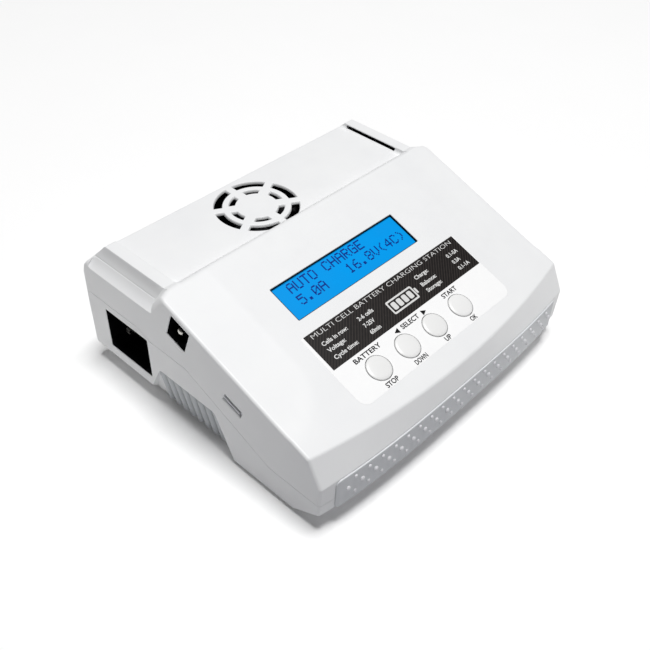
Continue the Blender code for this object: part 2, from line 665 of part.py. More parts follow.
def build_balance():
    """Five polarised headers on an upright board behind the right wall."""
    add("balance_board", block(60.2, 61.8, -13.6, 26.9, 32.4, 44.6), BOARD_GREEN)
    for cells, y, z in balance_headers():
        half = header_length(cells) / 2
        back, face = 61.8 + GAP, 61.8 + GAP + XH_DEEP
        header = add("balance_header_%ds" % cells,
                     block(back, face, y - half, y + half, z - XH_THICK / 2, z + XH_THICK / 2),
                     ("header_ivory", (0.86, 0.84, 0.76), 0.4))
        cut(header, block(back + 1.6, face + 3, y - half + 0.9, y + half - 0.9,
                          z - XH_THICK / 2 + 0.85, z + XH_THICK / 2 - 0.7))
        for slot in (y - half + 2.6, y + half - 2.6):
            cut(header, block(back + 2.6, face + 3, slot - 0.8, slot + 0.8, z - XH_THICK, z))
        tidy(header, 0)


# ---------------------------------------------------------------- fan
def build_fan():
    z1, z0, half = FAN_TOP, FAN_TOP - FAN_H, FAN_SIZE / 2
    corners = rounded_box(half, half, 3.0, 3, (FAN_X, FAN_Y))
    frame = add("fan_frame", prism(corners, z0, z1, "z"), BLACK_NYLON)
    cut(frame, drum(FAN_X, FAN_Y, 19.0, z0 - 3, z1 + 3, "z", 40))
    fuse(frame, drum(FAN_X, FAN_Y, 9.0, z0, z0 + 1.3, "z", 24))
    for k in range(3):
        angle = math.radians(30 + 120 * k)
        bar = block(8.0, 19.6, -1.2, 1.2, z0, z0 + 1.3)
        bmesh.ops.rotate(bar, matrix=Matrix.Rotation(angle, 3, "Z"), verts=bar.verts)
        bmesh.ops.translate(bar, vec=(FAN_X, FAN_Y, 0), verts=bar.verts)
        fuse(frame, bar)
    cut(frame, drum(FAN_X, FAN_Y, 1.3, z0 - 3, z0 + 5, "z", 16))
    for dx in (-16, 16):
        for dy in (-16, 16):
            cut(frame, drum(FAN_X + dx, FAN_Y + dy, 1.7, z0 - 3, z1 + 3, "z", 12))
    tidy(frame)
    # rotor: cup-shaped hub on a short shaft, with pitched blades
    low, high = z0 + 1.3 + 2 * GAP, z1 - 0.9
    hub = lathe([(0, z0 + 0.2 - low), (1.0, z0 + 0.2 - low), (1.0, 0.0), (9.2, 0.0),
                 (9.2, high - low - 0.8), (8.4, high - low), (0, high - low)], 28)
    rotor = add("fan_rotor", hub, ("rotor_black", (0.02, 0.02, 0.022), 0.4))
    for k in range(FAN_BLADES):
        rings = []
        for radius in (8.6, 12.0, 15.4, 18.2):
            twist = math.radians(48 - 1.6 * (radius - 8.6))
            sweep = 0.028 * (radius - 8.6)
            half_run = 0.46 * radius * math.cos(twist)
            tall = (high - low) / 2 - 0.7
            ring = []
            for s, t in ((-1, -0.4), (0, -0.4), (1, -0.4), (1, 0.4), (0, 0.4), (-1, 0.4)):
                angle = s * half_run / radius + sweep
                bulge = 0.5 * (1 - s * s)
                ring.append((radius * math.cos(angle), radius * math.sin(angle),
                             (high - low) / 2 + s * tall + bulge + t))
            rings.append(ring)
        blade = loft(rings)
        bmesh.ops.rotate(blade, matrix=Matrix.Rotation(2 * math.pi * k / FAN_BLADES, 3, "Z"),
                         verts=blade.verts)
        fuse(rotor, blade)
    tidy(rotor)
    rotor.location = Vector((FAN_X, FAN_Y, low)) * MM


# ---------------------------------------------------------------- power electronics
def build_electronics():
    top = MAIN_Z + BOARD_T + GAP
    board = add("main_board", block(-56, 56, -43, 53, MAIN_Z, MAIN_Z + BOARD_T), BOARD_GREEN)
    tidy(board, 0)
    # ferrite transformer: core with two windows, wound bobbin through them
    core = add("transformer_core", block(6, 36, 18, 44, top + 2, top + 26),
               ("ferrite", (0.07, 0.07, 0.075), 0.6))
    cut(core, block(11.5, 17.0, 10, 50, top + 7, top + 21), block(25.0, 30.5, 10, 50, top + 7, top + 21))
    tidy(core, 0)
    coil = add("transformer_winding", block(12.2, 29.8, 16, 46, top + 7.6, top + 20.4),
               ("winding_tape", (0.85, 0.68, 0.08), 0.45))
    cut(coil, block(16.7, 25.3, 10, 50, top + 3, top + 26))
    fuse(coil, block(12.2, 29.8, 14.4, 17.6, top + 7.6, top + 20.4),
         block(12.2, 29.8, 44.4, 47.6, top + 7.6, top + 20.4))
    tidy(coil, 0)
    can = lathe([(0, 0), (9.0, 0), (9.0, 1.6), (8.5, 2.2), (9.0, 2.8), (9.0, 25.2), (8.2, 26.0), (0, 26.0)],
                24, (-37, 12, top))
    add("bulk_capacitor", can, ("capacitor_sleeve", (0.02, 0.025, 0.07), 0.35), 40)
    loops = []
    for i in range(24):
        a = 2 * math.pi * i / 24
        loops.append([((9.0 + r) * math.cos(a) + 30, (9.0 + r) * math.sin(a) - 20, top + 4.2 + h)
                      for r, h in circle(0, 0, 3.9, 8)])
    ring = loft(loops + [loops[0]], False)
    bmesh.ops.remove_doubles(ring, verts=ring.verts, dist=1e-4)
    add("output_inductor", ring, ("enamelled_copper", (0.5, 0.2, 0.08), 0.3, 0.8), 60)
    choke = add("mains_choke", block(-46, -30, 36, 52, top, top + 17),
                ("choke_green", (0.05, 0.2, 0.11), 0.5))
    cut(choke, block(-41.5, -34.5, 30, 60, top + 5, top + 12.5))
    tidy(choke, 0)
    add("mains_fuse", lathe([(0, -10), (2.6, -10), (2.6, 10), (0, 10)], 14, (-20, 49, top + 2.8), "x"),
        ("fuse_ceramic", (0.8, 0.78, 0.7), 0.4), 40)
    for name, x, y0, y1 in (("primary_heatsink", -17.5, 8, 36), ("output_heatsink", 40.0, 18, 50)):
        fin = add(name, block(x, x + 2.4, y0, y1, top, top + 22), ALUMINIUM)
        for k in range(5):
            z = top + 2 + 4.4 * k
            fuse(fin, block(x + 1.2, x + 7.0, y0, y1, z, z + 1.2))
        tidy(fin, 0)


# ---------------------------------------------------------------- feet and screws
def build_fasteners():
    for k, (x, y) in enumerate(FOOT_XY, 1):
        foot = lathe([(0, 0), (FOOT_R - 0.7, 0), (FOOT_R, 0.7), (FOOT_R, FOOT_H), (0, FOOT_H)], 20, (x, y, 0))
        add("foot_%d" % k, foot, RUBBER, 40)
    for k, (x, y) in enumerate(SCREW_XY, 1):
        end = 31.0 if y < 0 else 45.5
        screw = lathe([(0, 6.4), (2.2, 6.4), (2.7, 6.9), (2.7, 8.7), (1.2, 8.7), (1.2, end - 1.5), (0, end)],
                      14, (x, y, 0))
        screw = add("case_screw_%d" % k, screw, STEEL)
        for turn in (0, 1):
            a, b = (1.7, 0.35) if turn else (0.35, 1.7)
            cut(screw, block(x - a, x + a, y - b, y + b, 5, 7.5))
        tidy(screw, 40)


build_top()
build_bottom()
build_grip()
build_label()
build_display()
build_buttons()
build_control_board()
build_inlet()
build_jack()
build_port()
build_sockets()
build_balance()
build_fan()
build_electronics()
build_fasteners()
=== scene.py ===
"""Looks of the balance battery charger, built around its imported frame.

Lengths are millimetres and are scaled to metres when a mesh is made. Panel coordinates are
u to the right, v down the slope from the crest and n out of the panel.
"""
import json
from math import acos, asin, atan2, cos, exp, pi, radians, sin, sqrt, tan

import bmesh
import bpy
from mathutils import Matrix, Vector
from mathutils.bvhtree import BVHTree


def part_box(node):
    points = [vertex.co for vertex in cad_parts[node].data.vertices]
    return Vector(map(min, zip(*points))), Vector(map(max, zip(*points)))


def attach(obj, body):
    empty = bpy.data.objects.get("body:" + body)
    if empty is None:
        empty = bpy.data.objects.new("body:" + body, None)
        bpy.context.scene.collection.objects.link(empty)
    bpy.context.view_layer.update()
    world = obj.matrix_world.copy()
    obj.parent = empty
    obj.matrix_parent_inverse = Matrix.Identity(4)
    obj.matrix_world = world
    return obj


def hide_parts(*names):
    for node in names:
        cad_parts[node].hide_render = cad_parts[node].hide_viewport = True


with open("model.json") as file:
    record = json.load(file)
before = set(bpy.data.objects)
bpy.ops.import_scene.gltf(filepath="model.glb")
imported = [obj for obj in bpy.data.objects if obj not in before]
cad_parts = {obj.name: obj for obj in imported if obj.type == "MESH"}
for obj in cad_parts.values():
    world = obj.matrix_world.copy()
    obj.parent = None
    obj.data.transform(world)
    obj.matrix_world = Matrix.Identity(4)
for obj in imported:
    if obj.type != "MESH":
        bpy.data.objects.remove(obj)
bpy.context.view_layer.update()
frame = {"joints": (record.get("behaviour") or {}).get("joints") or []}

MM = 0.001
JOINTS = {joint["name"]: joint for joint in frame["joints"]}


def span(node):
    """Limits of a node in millimetres: x0, x1, y0, y1, z0, z1."""
    low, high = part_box(node)
    return [value / MM for pair in zip(low, high) for value in pair]


def middle(node):
    x0, x1, y0, y1, z0, z1 = span(node)
    return (x0 + x1) / 2, (y0 + y1) / 2, (z0 + z1) / 2


# ---- driving sizes
SLOPE = atan2(JOINTS["press_stop"]["axis"][1], -JOINTS["press_stop"]["axis"][2])
COS, SIN = cos(SLOPE), sin(SLOPE)
HALF_WIDTH = span("top_shell")[1]
REAR_Y = span("bottom_shell")[3]
UNDERSIDE_Z = span("bottom_shell")[4]
WALL, PANEL_T = 2.2, 2.3
RAIL_Z, DECK_Z, LEDGE_Z = 56.8, 54.7, 47.9
SIDE_EDGE_R = 1.2
PARTING = [(80, 34.2), (31, 34.2), (26, 31.6), (5.5, 31.6), (-35.5, 13.6), (-80, 13.6)]
SEAM = 0.09  # half of the dark line between the case halves
FAR = 90  # well outside the case

LABEL_HALF, LABEL_Y0, LABEL_Y1 = span("panel_label")[1:4]
LABEL_T, LABEL_V0, LABEL_R = 0.3, 38.6, 4.0
LABEL_V1 = LABEL_V0 + (LABEL_Y1 - LABEL_Y0 - LABEL_T * SIN) / COS
CREST_Y = LABEL_Y1 - LABEL_T * SIN + LABEL_V0 * COS
CREST_Z = span("panel_label")[5] + LABEL_V0 * SIN

BUTTONS = ("stop", "dec", "inc", "start")
BUTTON_V, BUTTON_R, KEY_HOLE_R = 62.66, 4.82, 5.08
LCD_U, LCD_V, LCD_W, LCD_H = middle("lcd_window")[0], 25.13, 64.5, 15.3
LCD_CORNER_R = 0.35

FAN_X, FAN_Y = JOINTS["fan_spin"]["pos_m"][0] / MM, JOINTS["fan_spin"]["pos_m"][1] / MM
GRILLE_RINGS = ((13.3, 16.5, 3.4), (8.4, 10.7, 4.4))  # inner radius, outer radius, spoke width
GRILLE_T, GRILLE_RECESS_R = 1.15, 18.4

JACK_V, JACK_N, JACK_W, JACK_H = 10.2, -8.15, 9.1, 10.4
PORT_V, PORT_N, PORT_W, PORT_H = 39.9, -13.7, 9.0, 3.2
INLET_Y, INLET_Z, INLET_W, INLET_H = 39.15, 21.8, 24.1, 17.7
OUTPUT_R = 4.2
CELLS = (2, 3, 4, 5, 6)
HEADER_T, HEADER_PITCH = 5.75, 2.5

VENT_W, VENT_PITCH = 1.9, 4.18
VENT_YS = [20.0 - VENT_PITCH * k for k in range(7)]
HOLLOW_TOP_Z, HOLLOW_LOW_Z = 21.0, -8.0
HOLLOW_TOP_IN, HOLLOW_LOW_IN = 0.9, 6.2  # how far the vent hollow goes in at those levels
RIB_HALF, RIB_OUT = 1.72, 1.25
BACKING_Y0, BACKING_Y1 = 24.0, 58.2

GRIP_HALF, GRIP_Z0, GRIP_Z1 = 63.8, 8.7, 21.8
GRIP_OUT, GRIP_T, GRIP_CORNER_R = 0.6, 1.6, 2.2
GRIP_GAP = 0.09
PIP_GROUPS, PIP_PITCH = 20, 6.23
PIP_ROW_X, PIP_ROW_Z, PIP_MIDDLE_Z = 3.05, 3.7, 15.8
PIP_RADII, PIP_FLATNESS = (0.74, 0.98, 0.74), 0.85
FEET = ["foot_%d" % k for k in range(1, 5)]
SCREWS = ["case_screw_%d" % k for k in range(1, 5)]


# ---- mesh helpers
def linked(name, data):
    """New object in the scene."""
    obj = bpy.data.objects.new(name, data)
    bpy.context.scene.collection.objects.link(obj)
    return obj


def quarter(steps):
    """Angles that divide a quarter turn."""
    return [pi / 2 * k / steps for k in range(steps + 1)]


def make(name, bm, smooth=30.0):
    """Turn a bmesh in millimetres into an object, smooth shaded below the given angle."""
    bmesh.ops.recalc_face_normals(bm, faces=bm.faces)
    bmesh.ops.scale(bm, vec=(MM, MM, MM), verts=bm.verts)
    mesh = bpy.data.meshes.new(name)
    bm.to_mesh(mesh)
    bm.free()
    obj = linked(name, mesh)
    if smooth:
        mesh.shade_smooth()
        mesh.set_sharp_from_angle(angle=radians(smooth))
    return obj


def loft(rings, close_ends=True):
    """Skin a list of equally long point rings."""
    bm = bmesh.new()
    layers = [[bm.verts.new(p) for p in ring] for ring in rings]
    count = len(layers[0])
    for a, b in zip(layers, layers[1:]):
        for i in range(count):
            j = (i + 1) % count
            bm.faces.new((a[i], a[j], b[j], b[i]))
    if close_ends:
        bm.faces.new(layers[0])
        bm.faces.new(layers[-1])
    return bm


def prism(points, low, high, axis="x"):
    """Extrude a flat outline. Outline pairs are (y, z) for x, (x, z) for y and (x, y) for z."""
    place = {
        "x": lambda p, h: (h, p[0], p[1]),
        "y": lambda p, h: (p[0], h, p[1]),
        "z": lambda p, h: (p[0], p[1], h),
    }[axis]
    return loft([[place(p, height) for p in points] for height in (low, high)])


def stacked(layers, close_ends=True):
    """Skin flat outlines laid at their heights, given as (outline, height) pairs."""
    return loft([[(a, b, height) for a, b in outline] for outline, height in layers], close_ends)


def at_x(x, outline):
    """Stand a (y, z) outline up at x."""
    return [(x, y, z) for y, z in outline]


def block(x0, x1, y0, y1, z0, z1):
    return prism([(x0, y0), (x1, y0), (x1, y1), (x0, y1)], z0, z1, "z")


def circle(cx, cy, radius, count):
    turns_and_groove_shade = [2 * pi / count * i for i in range(count)]
    return [(cx + radius * cos(t), cy + radius * sin(t)) for t in turns_and_groove_shade]


def drum(cx, cy, radius, low, high, count=64):
    return prism(circle(cx, cy, radius, count), low, high, "z")


def lathe(outline, count=64, centre=(0, 0, 0), axis="z"):
    """Turn a (radius, height) outline about an axis through centre; its ends lie on the axis."""
    turn = {"z": lambda a, b, h: (a, b, h), "x": lambda a, b, h: (h, a, b)}[axis]
    bm = loft([[Vector(turn(a, b, height)) + Vector(centre) for a, b in circle(0, 0, radius, count)]
               for radius, height in outline], False)
    bmesh.ops.remove_doubles(bm, verts=bm.verts, dist=1e-6)
    return bm


def rounded(points, radii, steps=5):
    """Round the corners of an outline; the point count depends only on the steps."""
    out = []
    count = len(points)
    for i, point in enumerate(points):
        radius = radii[i]
        here = Vector(point)
        if radius <= 0:
            out.append(tuple(here))
            continue
        before = (Vector(points[i - 1]) - here).normalized()
        after = (Vector(points[(i + 1) % count]) - here).normalized()
        half = acos(max(-1, min(1, before.dot(after)))) / 2
        reach = radius / tan(half)
        start, end = here + before * reach, here + after * reach
        centre = here + (before + after).normalized() * (radius / sin(half))
        a, b = start - centre, end - centre
        swept = a.angle(b)
        for k in range(steps + 1):
            blend = k / steps
            spoke = a.lerp(b, blend)
            if swept > 1e-4:
                spoke = (a * sin((1 - blend) * swept) + b * sin(blend * swept)) / sin(swept)
            out.append(tuple(centre + spoke))
    return out


def inset(points, amount):
    """Move every side of an outline inward by amount, keeping the point count."""
    count = len(points)
    area = sum(points[i - 1][0] * points[i][1] - points[i][0] * points[i - 1][1] for i in range(count))
    turn = 1 if area > 0 else -1
    out = []
    for i in range(count):
        here = Vector(points[i])
        a = (here - Vector(points[i - 1])).normalized()
        b = (Vector(points[(i + 1) % count]) - here).normalized()
        na, nb = Vector((-a.y, a.x)) * turn, Vector((-b.y, b.x)) * turn
        mid = (na + nb).normalized()
        out.append(tuple(here + mid * amount / max(0.3, mid.dot(na))))
    return out


def rounded_box(half_a, half_b, radius, centre=(0, 0), steps=5):
    ca, cb = centre
    corners = [(ca + a * half_a, cb + b * half_b) for a, b in ((-1, -1), (1, -1), (1, 1), (-1, 1))]
    return rounded(corners, [radius] * 4, steps)


def joined(*meshes):
    """One bmesh that holds several."""
    whole = bmesh.new()
    for bm in meshes:
        held = bpy.data.meshes.new("held")
        bm.to_mesh(held)
        bm.free()
        whole.from_mesh(held)
        bpy.data.meshes.remove(held)
    return whole


def reopened(obj):
    """Take a helper object back as a bmesh in millimetres."""
    bm = bmesh.new()
    bm.from_mesh(obj.data)
    bmesh.ops.scale(bm, vec=(1 / MM, 1 / MM, 1 / MM), verts=bm.verts)
    bpy.data.objects.remove(obj, do_unlink=True)
    return bm


def boolean(target, kind, *meshes):
    """Cut, fuse or intersect an object with each mesh in turn."""
    for bm in meshes:
        other = make("tool", bm, 0)
        step = target.modifiers.new("step", "BOOLEAN")
        step.operation = kind
        step.solver = "EXACT"
        step.object = other
        graph = bpy.context.evaluated_depsgraph_get()
        mesh = bpy.data.meshes.new_from_object(target.evaluated_get(graph))
        target.modifiers.clear()
        target.data = mesh
        bpy.data.objects.remove(other, do_unlink=True)


def cut(target, *meshes):
    boolean(target, "DIFFERENCE", *meshes)


def fuse(target, *meshes):
    boolean(target, "UNION", *meshes)


def paint_inside_shade(target, room, mat):
    """Give the faces that lie on the walls of the room a second material: near-black painted shade for the
    unlit hollow of the case.
    """
    bmesh.ops.scale(room, vec=(MM, MM, MM), verts=room.verts)
    tree = BVHTree.FromBMesh(room)
    room.free()
    target.data.materials.append(mat)
    for face in target.data.polygons:
        if tree.find_nearest(face.center)[3] < 0.03 * MM:
            face.material_index = 1


def tidy(target, smooth=28.0):
    """Weld what the Booleans leave, drop slivers and shade smooth below the given angle."""
    bm = bmesh.new()
    bm.from_mesh(target.data)
    bmesh.ops.remove_doubles(bm, verts=bm.verts, dist=1e-6)
    bmesh.ops.dissolve_degenerate(bm, edges=bm.edges, dist=1e-6)
    bm.to_mesh(target.data)
    bm.free()
    target.data.materials.clear()
    target.data.shade_smooth()
    target.data.set_sharp_from_angle(angle=radians(smooth))


def weighted(obj):
    """Shade by face area, so that flat faces stay flat beside small fillets."""
    step = obj.modifiers.new("shading", "WEIGHTED_NORMAL")
    step.keep_sharp = True
    step.weight = 100


def ease_edges(obj, width, angle=35):
    """Break the sharp edges of a piece with a narrow round."""
    step = obj.modifiers.new("edges", "BEVEL")
    step.width = width * MM
    step.segments = 2
    step.limit_method = "ANGLE"
    step.angle_limit = radians(angle)


# Panel frame: columns are u, up-slope and n; the origin is on the crest line.
PANEL = Matrix(((1, 0, 0, 0), (0, COS, -SIN, CREST_Y), (0, SIN, COS, CREST_Z), (0, 0, 0, 1)))


def on_panel(bm):
    """Move a mesh built as (u, -v, n) into the frame of the object."""
    bmesh.ops.transform(bm, matrix=PANEL, verts=bm.verts)
    return bm


def panel_drum(u, v, radius, n0, n1, count=64):
    return on_panel(drum(u, -v, radius, n0, n1, count))


def panel_z(y):
    return CREST_Z - (CREST_Y - y) * tan(SLOPE)


# ---- material helpers
class Graph:
    """Node tree helper: every call adds one node and returns it or its output."""

    def __init__(self, name):
        self.mat = bpy.data.materials.new(name)
        self.mat.use_nodes = True
        self.nodes = self.mat.node_tree.nodes
        self.links = self.mat.node_tree.links
        self.shader = self.nodes["Principled BSDF"]
        self.place = self.add("ShaderNodeTexCoord").outputs["Object"]

    def add(self, kind, **settings):
        node = self.nodes.new(kind)
        for key, value in settings.items():
            setattr(node, key, value)
        return node

    def plug(self, socket, value):
        """Link an input to an output, or set it to a constant."""
        if isinstance(value, bpy.types.NodeSocket):
            self.links.new(value, socket)
        else:
            socket.default_value = value

    def feed(self, node, **inputs):
        for key, value in inputs.items():
            self.plug(node.inputs[key.replace("_", " ")], value)
        return node

    def noise(self, scale, detail=2.0, rough=0.5, place=None):
        node = self.add("ShaderNodeTexNoise")
        self.feed(node, Vector=place or self.place, Scale=scale, Detail=detail, Roughness=rough)
        return node.outputs["Fac"]

    def ramp(self, value, low, high, out_low=0.0, out_high=1.0):
        node = self.add("ShaderNodeMapRange", clamp=True)
        for key, level in zip((1, 2, 3, 4), (low, high, out_low, out_high)):
            node.inputs[key].default_value = level
        self.links.new(value, node.inputs[0])
        return node.outputs[0]

    def mix(self, blend, a, b):
        node = self.add("ShaderNodeMix", data_type="RGBA")
        self.plug(node.inputs[0], blend)
        for socket, value in ((node.inputs[6], a), (node.inputs[7], b)):
            self.plug(socket, (*value, 1.0) if isinstance(value, tuple) else value)
        return node.outputs[2]

    def math(self, kind, a, b=0.0):
        node = self.add("ShaderNodeMath", operation=kind)
        self.plug(node.inputs[0], a)
        self.plug(node.inputs[1], b)
        return node.outputs[0]

    def axis(self, key):
        node = self.add("ShaderNodeSeparateXYZ")
        self.links.new(self.place, node.inputs[0])
        return node.outputs[key]

    def bump(self, height, strength, distance):
        node = self.add("ShaderNodeBump")
        self.feed(node, Height=height, Strength=strength, Distance=distance)
        self.feed(self.shader, Normal=node.outputs["Normal"])

    def finish(self, **inputs):
        self.feed(self.shader, **inputs)
        return self.mat


def moulded(name, colour, shade, rough=(0.36, 0.46), grain=0.12, gleam=0.5):
    """Moulded plastic: fine spark-eroded grain, faint flow clouds in colour and in gloss."""
    g = Graph(name)
    clouds = g.ramp(g.noise(42, 3.0), 0.35, 0.68)
    specks = g.ramp(g.noise(5200, 1.0), 0.62, 0.8)
    base = g.mix(clouds, colour, shade)
    base = g.mix(g.math("MULTIPLY", specks, 0.12), base, tuple(c * 0.72 for c in shade))
    gloss = g.ramp(g.noise(180, 4.0), 0.3, 0.7, *rough)
    g.bump(g.noise(2600, 2.0, 0.6), grain, 0.00004)
    return g.finish(Base_Color=base, Roughness=gloss, Specular_IOR_Level=gleam)


def metal_sheet(name, colour, shade, rough=(0.18, 0.34), stretch=(60, 60, 3000)):
    """Drawn or plated metal with fine marks along one direction."""
    g = Graph(name)
    spread = g.feed(g.add("ShaderNodeMapping"), Vector=g.place, Scale=stretch)
    lines = g.noise(1.0, 3.0, 0.6, spread.outputs[0])
    stain = g.ramp(g.noise(240, 3.0), 0.4, 0.7)
    g.bump(lines, 0.1, 0.00002)
    gloss = g.ramp(lines, 0.3, 0.7, *rough)
    return g.finish(Base_Color=g.mix(stain, colour, shade), Roughness=gloss, Metallic=1.0)


def board_material():
    """Green solder mask over copper: lighter tracks on a grid and tinned pads."""
    g = Graph("solder_mask")
    cells = g.add("ShaderNodeTexVoronoi", feature="F1", distance="CHEBYCHEV")
    g.feed(cells, Vector=g.place, Scale=230.0, Randomness=0.35)
    pads = g.ramp(cells.outputs["Distance"], 0.16, 0.2, 1.0, 0.0)
    tracks = g.add("ShaderNodeTexBrick")
    g.feed(tracks, Vector=g.place, Scale=190.0, Mortar_Size=0.035, Mortar_Smooth=0.3)
    copper = tracks.outputs["Fac"]
    base = g.mix(copper, (0.012, 0.10, 0.045), (0.02, 0.17, 0.07))
    base = g.mix(pads, base, (0.62, 0.60, 0.54))
    g.bump(g.math("ADD", copper, pads), 0.35, 0.00006)
    return g.finish(Base_Color=base, Roughness=g.ramp(g.noise(900), 0.3, 0.7, 0.22, 0.36))


BAND_V0, BAND_V1, BAND_U, BAND_HALF = 38.7, 54.1, 0.45, 41.05
PINSTRIPE = 1.04


def label_material():
    """Printed film: white stock with a black band that carries fine slanted pinstripes."""
    g = Graph("label_film")
    x, y = g.axis("X"), g.axis("Y")
    above = g.math("GREATER_THAN", y, -BAND_V1 * MM)
    below = g.math("LESS_THAN", y, -BAND_V0 * MM)
    from_middle = g.math("ABSOLUTE", g.math("SUBTRACT", x, BAND_U * MM))
    inside = g.math("MULTIPLY", g.math("MULTIPLY", above, below),
                    g.math("LESS_THAN", from_middle, BAND_HALF * MM))
    along = g.math("MULTIPLY", g.math("SUBTRACT", x, y), 1.0 / (PINSTRIPE * MM * sqrt(2.0)))
    stripe = g.ramp(g.math("PINGPONG", along, 0.5), 0.30, 0.42)
    ink = g.mix(stripe, (0.005, 0.003, 0.003), (0.030, 0.024, 0.021))
    paper = g.mix(g.ramp(g.noise(300, 3.0), 0.3, 0.7), (0.99, 0.99, 0.99), (0.975, 0.975, 0.98))
    gloss = g.ramp(g.noise(700, 3.0), 0.3, 0.7, 0.42, 0.52)
    g.bump(g.noise(1800, 2.0), 0.05, 0.00003)
    return g.finish(Base_Color=g.mix(inside, paper, ink), Roughness=gloss, Specular_IOR_Level=0.3)


def display_material():
    """Lit face of the display: clear blue with a faint cell grid."""
    g = Graph("display_blue")
    x, y = g.axis("X"), g.axis("Y")
    pitch = 1.0 / (0.6 * MM)
    lines = g.math("MAXIMUM", g.math("PINGPONG", g.math("MULTIPLY", x, pitch), 0.5),
                   g.math("PINGPONG", g.math("MULTIPLY", y, pitch), 0.5))
    grid = g.ramp(lines, 0.44, 0.5, 0.0, 0.10)
    clouds = g.ramp(g.noise(60, 2.0), 0.3, 0.7)
    blue = g.mix(clouds, (0.0, 0.31, 0.80), (0.0, 0.285, 0.75))
    blue = g.mix(grid, blue, (0.0, 0.18, 0.55))
    g.feed(g.shader, Emission_Color=(0.0, 0.33, 0.80, 1.0), Emission_Strength=0.12)
    gloss = g.ramp(clouds, 0.0, 1.0, 0.3, 0.4)
    return g.finish(Base_Color=blue, Roughness=gloss, Specular_IOR_Level=0.12)


def clear_material():
    """Clear acrylic over the display, with faint wipe marks in its gloss."""
    g = Graph("clear_acrylic")
    gloss = g.ramp(g.noise(90, 4.0), 0.35, 0.75, 0.03, 0.12)
    tint = g.mix(g.ramp(g.noise(30), 0.3, 0.7), (0.97, 0.985, 1.0), (0.94, 0.97, 1.0))
    return g.finish(Base_Color=tint, Roughness=gloss, Alpha=0.06, IOR=1.49)


def tape_material():
    """Yellow polyester tape wound in overlapping layers."""
    g = Graph("winding_tape")
    layer = g.math("PINGPONG", g.math("MULTIPLY", g.axis("Z"), 420.0), 0.5)
    edge = g.ramp(layer, 0.02, 0.08, 1.0, 0.0)
    base = g.mix(g.ramp(g.noise(160, 3.0), 0.3, 0.7), (0.80, 0.60, 0.06), (0.72, 0.50, 0.04))
    g.bump(edge, 0.4, 0.0001)
    gloss = g.ramp(layer, 0, 0.5, 0.3, 0.42)
    return g.finish(Base_Color=g.mix(edge, base, (0.45, 0.30, 0.03)), Roughness=gloss)


def copper_material():
    """Enamelled copper wire: turns shown by a fine ring wave in relief, and in colour as painted shade in
    the grooves.
    """
    g = Graph("enamelled_copper")
    node = g.add("ShaderNodeTexWave", wave_type="RINGS", rings_direction="SPHERICAL")
    g.feed(node, Vector=g.place, Scale=900.0, Distortion=0.6)
    turns_and_groove_shade = node.outputs["Fac"]
    g.bump(turns_and_groove_shade, 0.6, 0.0002)
    # the darker copper between the turns is painted shade in the grooves between the wires
    base = g.mix(turns_and_groove_shade, (0.30, 0.10, 0.03), (0.62, 0.26, 0.10))
    return g.finish(Base_Color=base, Roughness=g.ramp(turns_and_groove_shade, 0, 1, 0.22, 0.35), Metallic=0.85)


def rubber_material():
    """Dark rubber with a little pale dust."""
    g = Graph("foot_rubber")
    dust = g.ramp(g.noise(600, 4.0), 0.5, 0.8)
    g.bump(g.noise(2200, 3.0), 0.3, 0.00005)
    base = g.mix(dust, (0.035, 0.035, 0.038), (0.09, 0.09, 0.09))
    return g.finish(Base_Color=base, Roughness=g.ramp(dust, 0, 1, 0.75, 0.92))


SHELL = moulded("shell_white", (0.905, 0.91, 0.915), (0.88, 0.885, 0.895), (0.40, 0.52), 0.10)
# painted shade: near black for the inner walls of the case, whose plastic is the same white as the outside
INSIDE_SHADE = moulded("shell_inside_painted_shade", (0.03, 0.03, 0.032), (0.02, 0.02, 0.022), (0.6, 0.8), 0.1, 0.2)
# darker grey copy of the shell white for the vent ribs: painted shade for the shadow that falls on them
RIBS_SHADED = moulded("rib_white_painted_shade", (0.56, 0.58, 0.60), (0.52, 0.54, 0.56), (0.45, 0.6), 0.12)
PORT = moulded("port_white", (0.78, 0.78, 0.80), (0.72, 0.72, 0.75), (0.35, 0.5), 0.1)
GRIP = moulded("grip_white", (0.70, 0.715, 0.735), (0.66, 0.675, 0.695), (0.42, 0.54), 0.16)
KEYS = moulded("key_white", (0.91, 0.91, 0.905), (0.885, 0.885, 0.88), (0.28, 0.38), 0.06)
MATT_BLACK = moulded("socket_black", (0.0025, 0.0025, 0.003), (0.004, 0.004, 0.0045), (0.7, 0.85), 0.1, 0.0)
BLACK = moulded("black_nylon", (0.006, 0.006, 0.007), (0.010, 0.010, 0.011), (0.45, 0.6), 0.2, 0.12)
ROTOR = moulded("rotor_black", (0.010, 0.010, 0.011), (0.016, 0.016, 0.018), (0.35, 0.5), 0.2, 0.2)
RED = moulded("red_nylon", (0.42, 0.012, 0.014), (0.34, 0.01, 0.012), (0.28, 0.4), 0.15)
IVORY = moulded("header_ivory", (0.80, 0.77, 0.66), (0.74, 0.71, 0.60), (0.36, 0.46), 0.12)
INK = moulded("print_black", (0.006, 0.006, 0.007), (0.010, 0.010, 0.011), (0.40, 0.50), 0.05, 0.15)
PALE_INK = moulded("print_white", (0.80, 0.80, 0.79), (0.74, 0.74, 0.73), (0.30, 0.40), 0.08)
DOTS = moulded("display_dots", (0.002, 0.022, 0.24), (0.003, 0.028, 0.28), (0.3, 0.4), 0.03, 0.2)
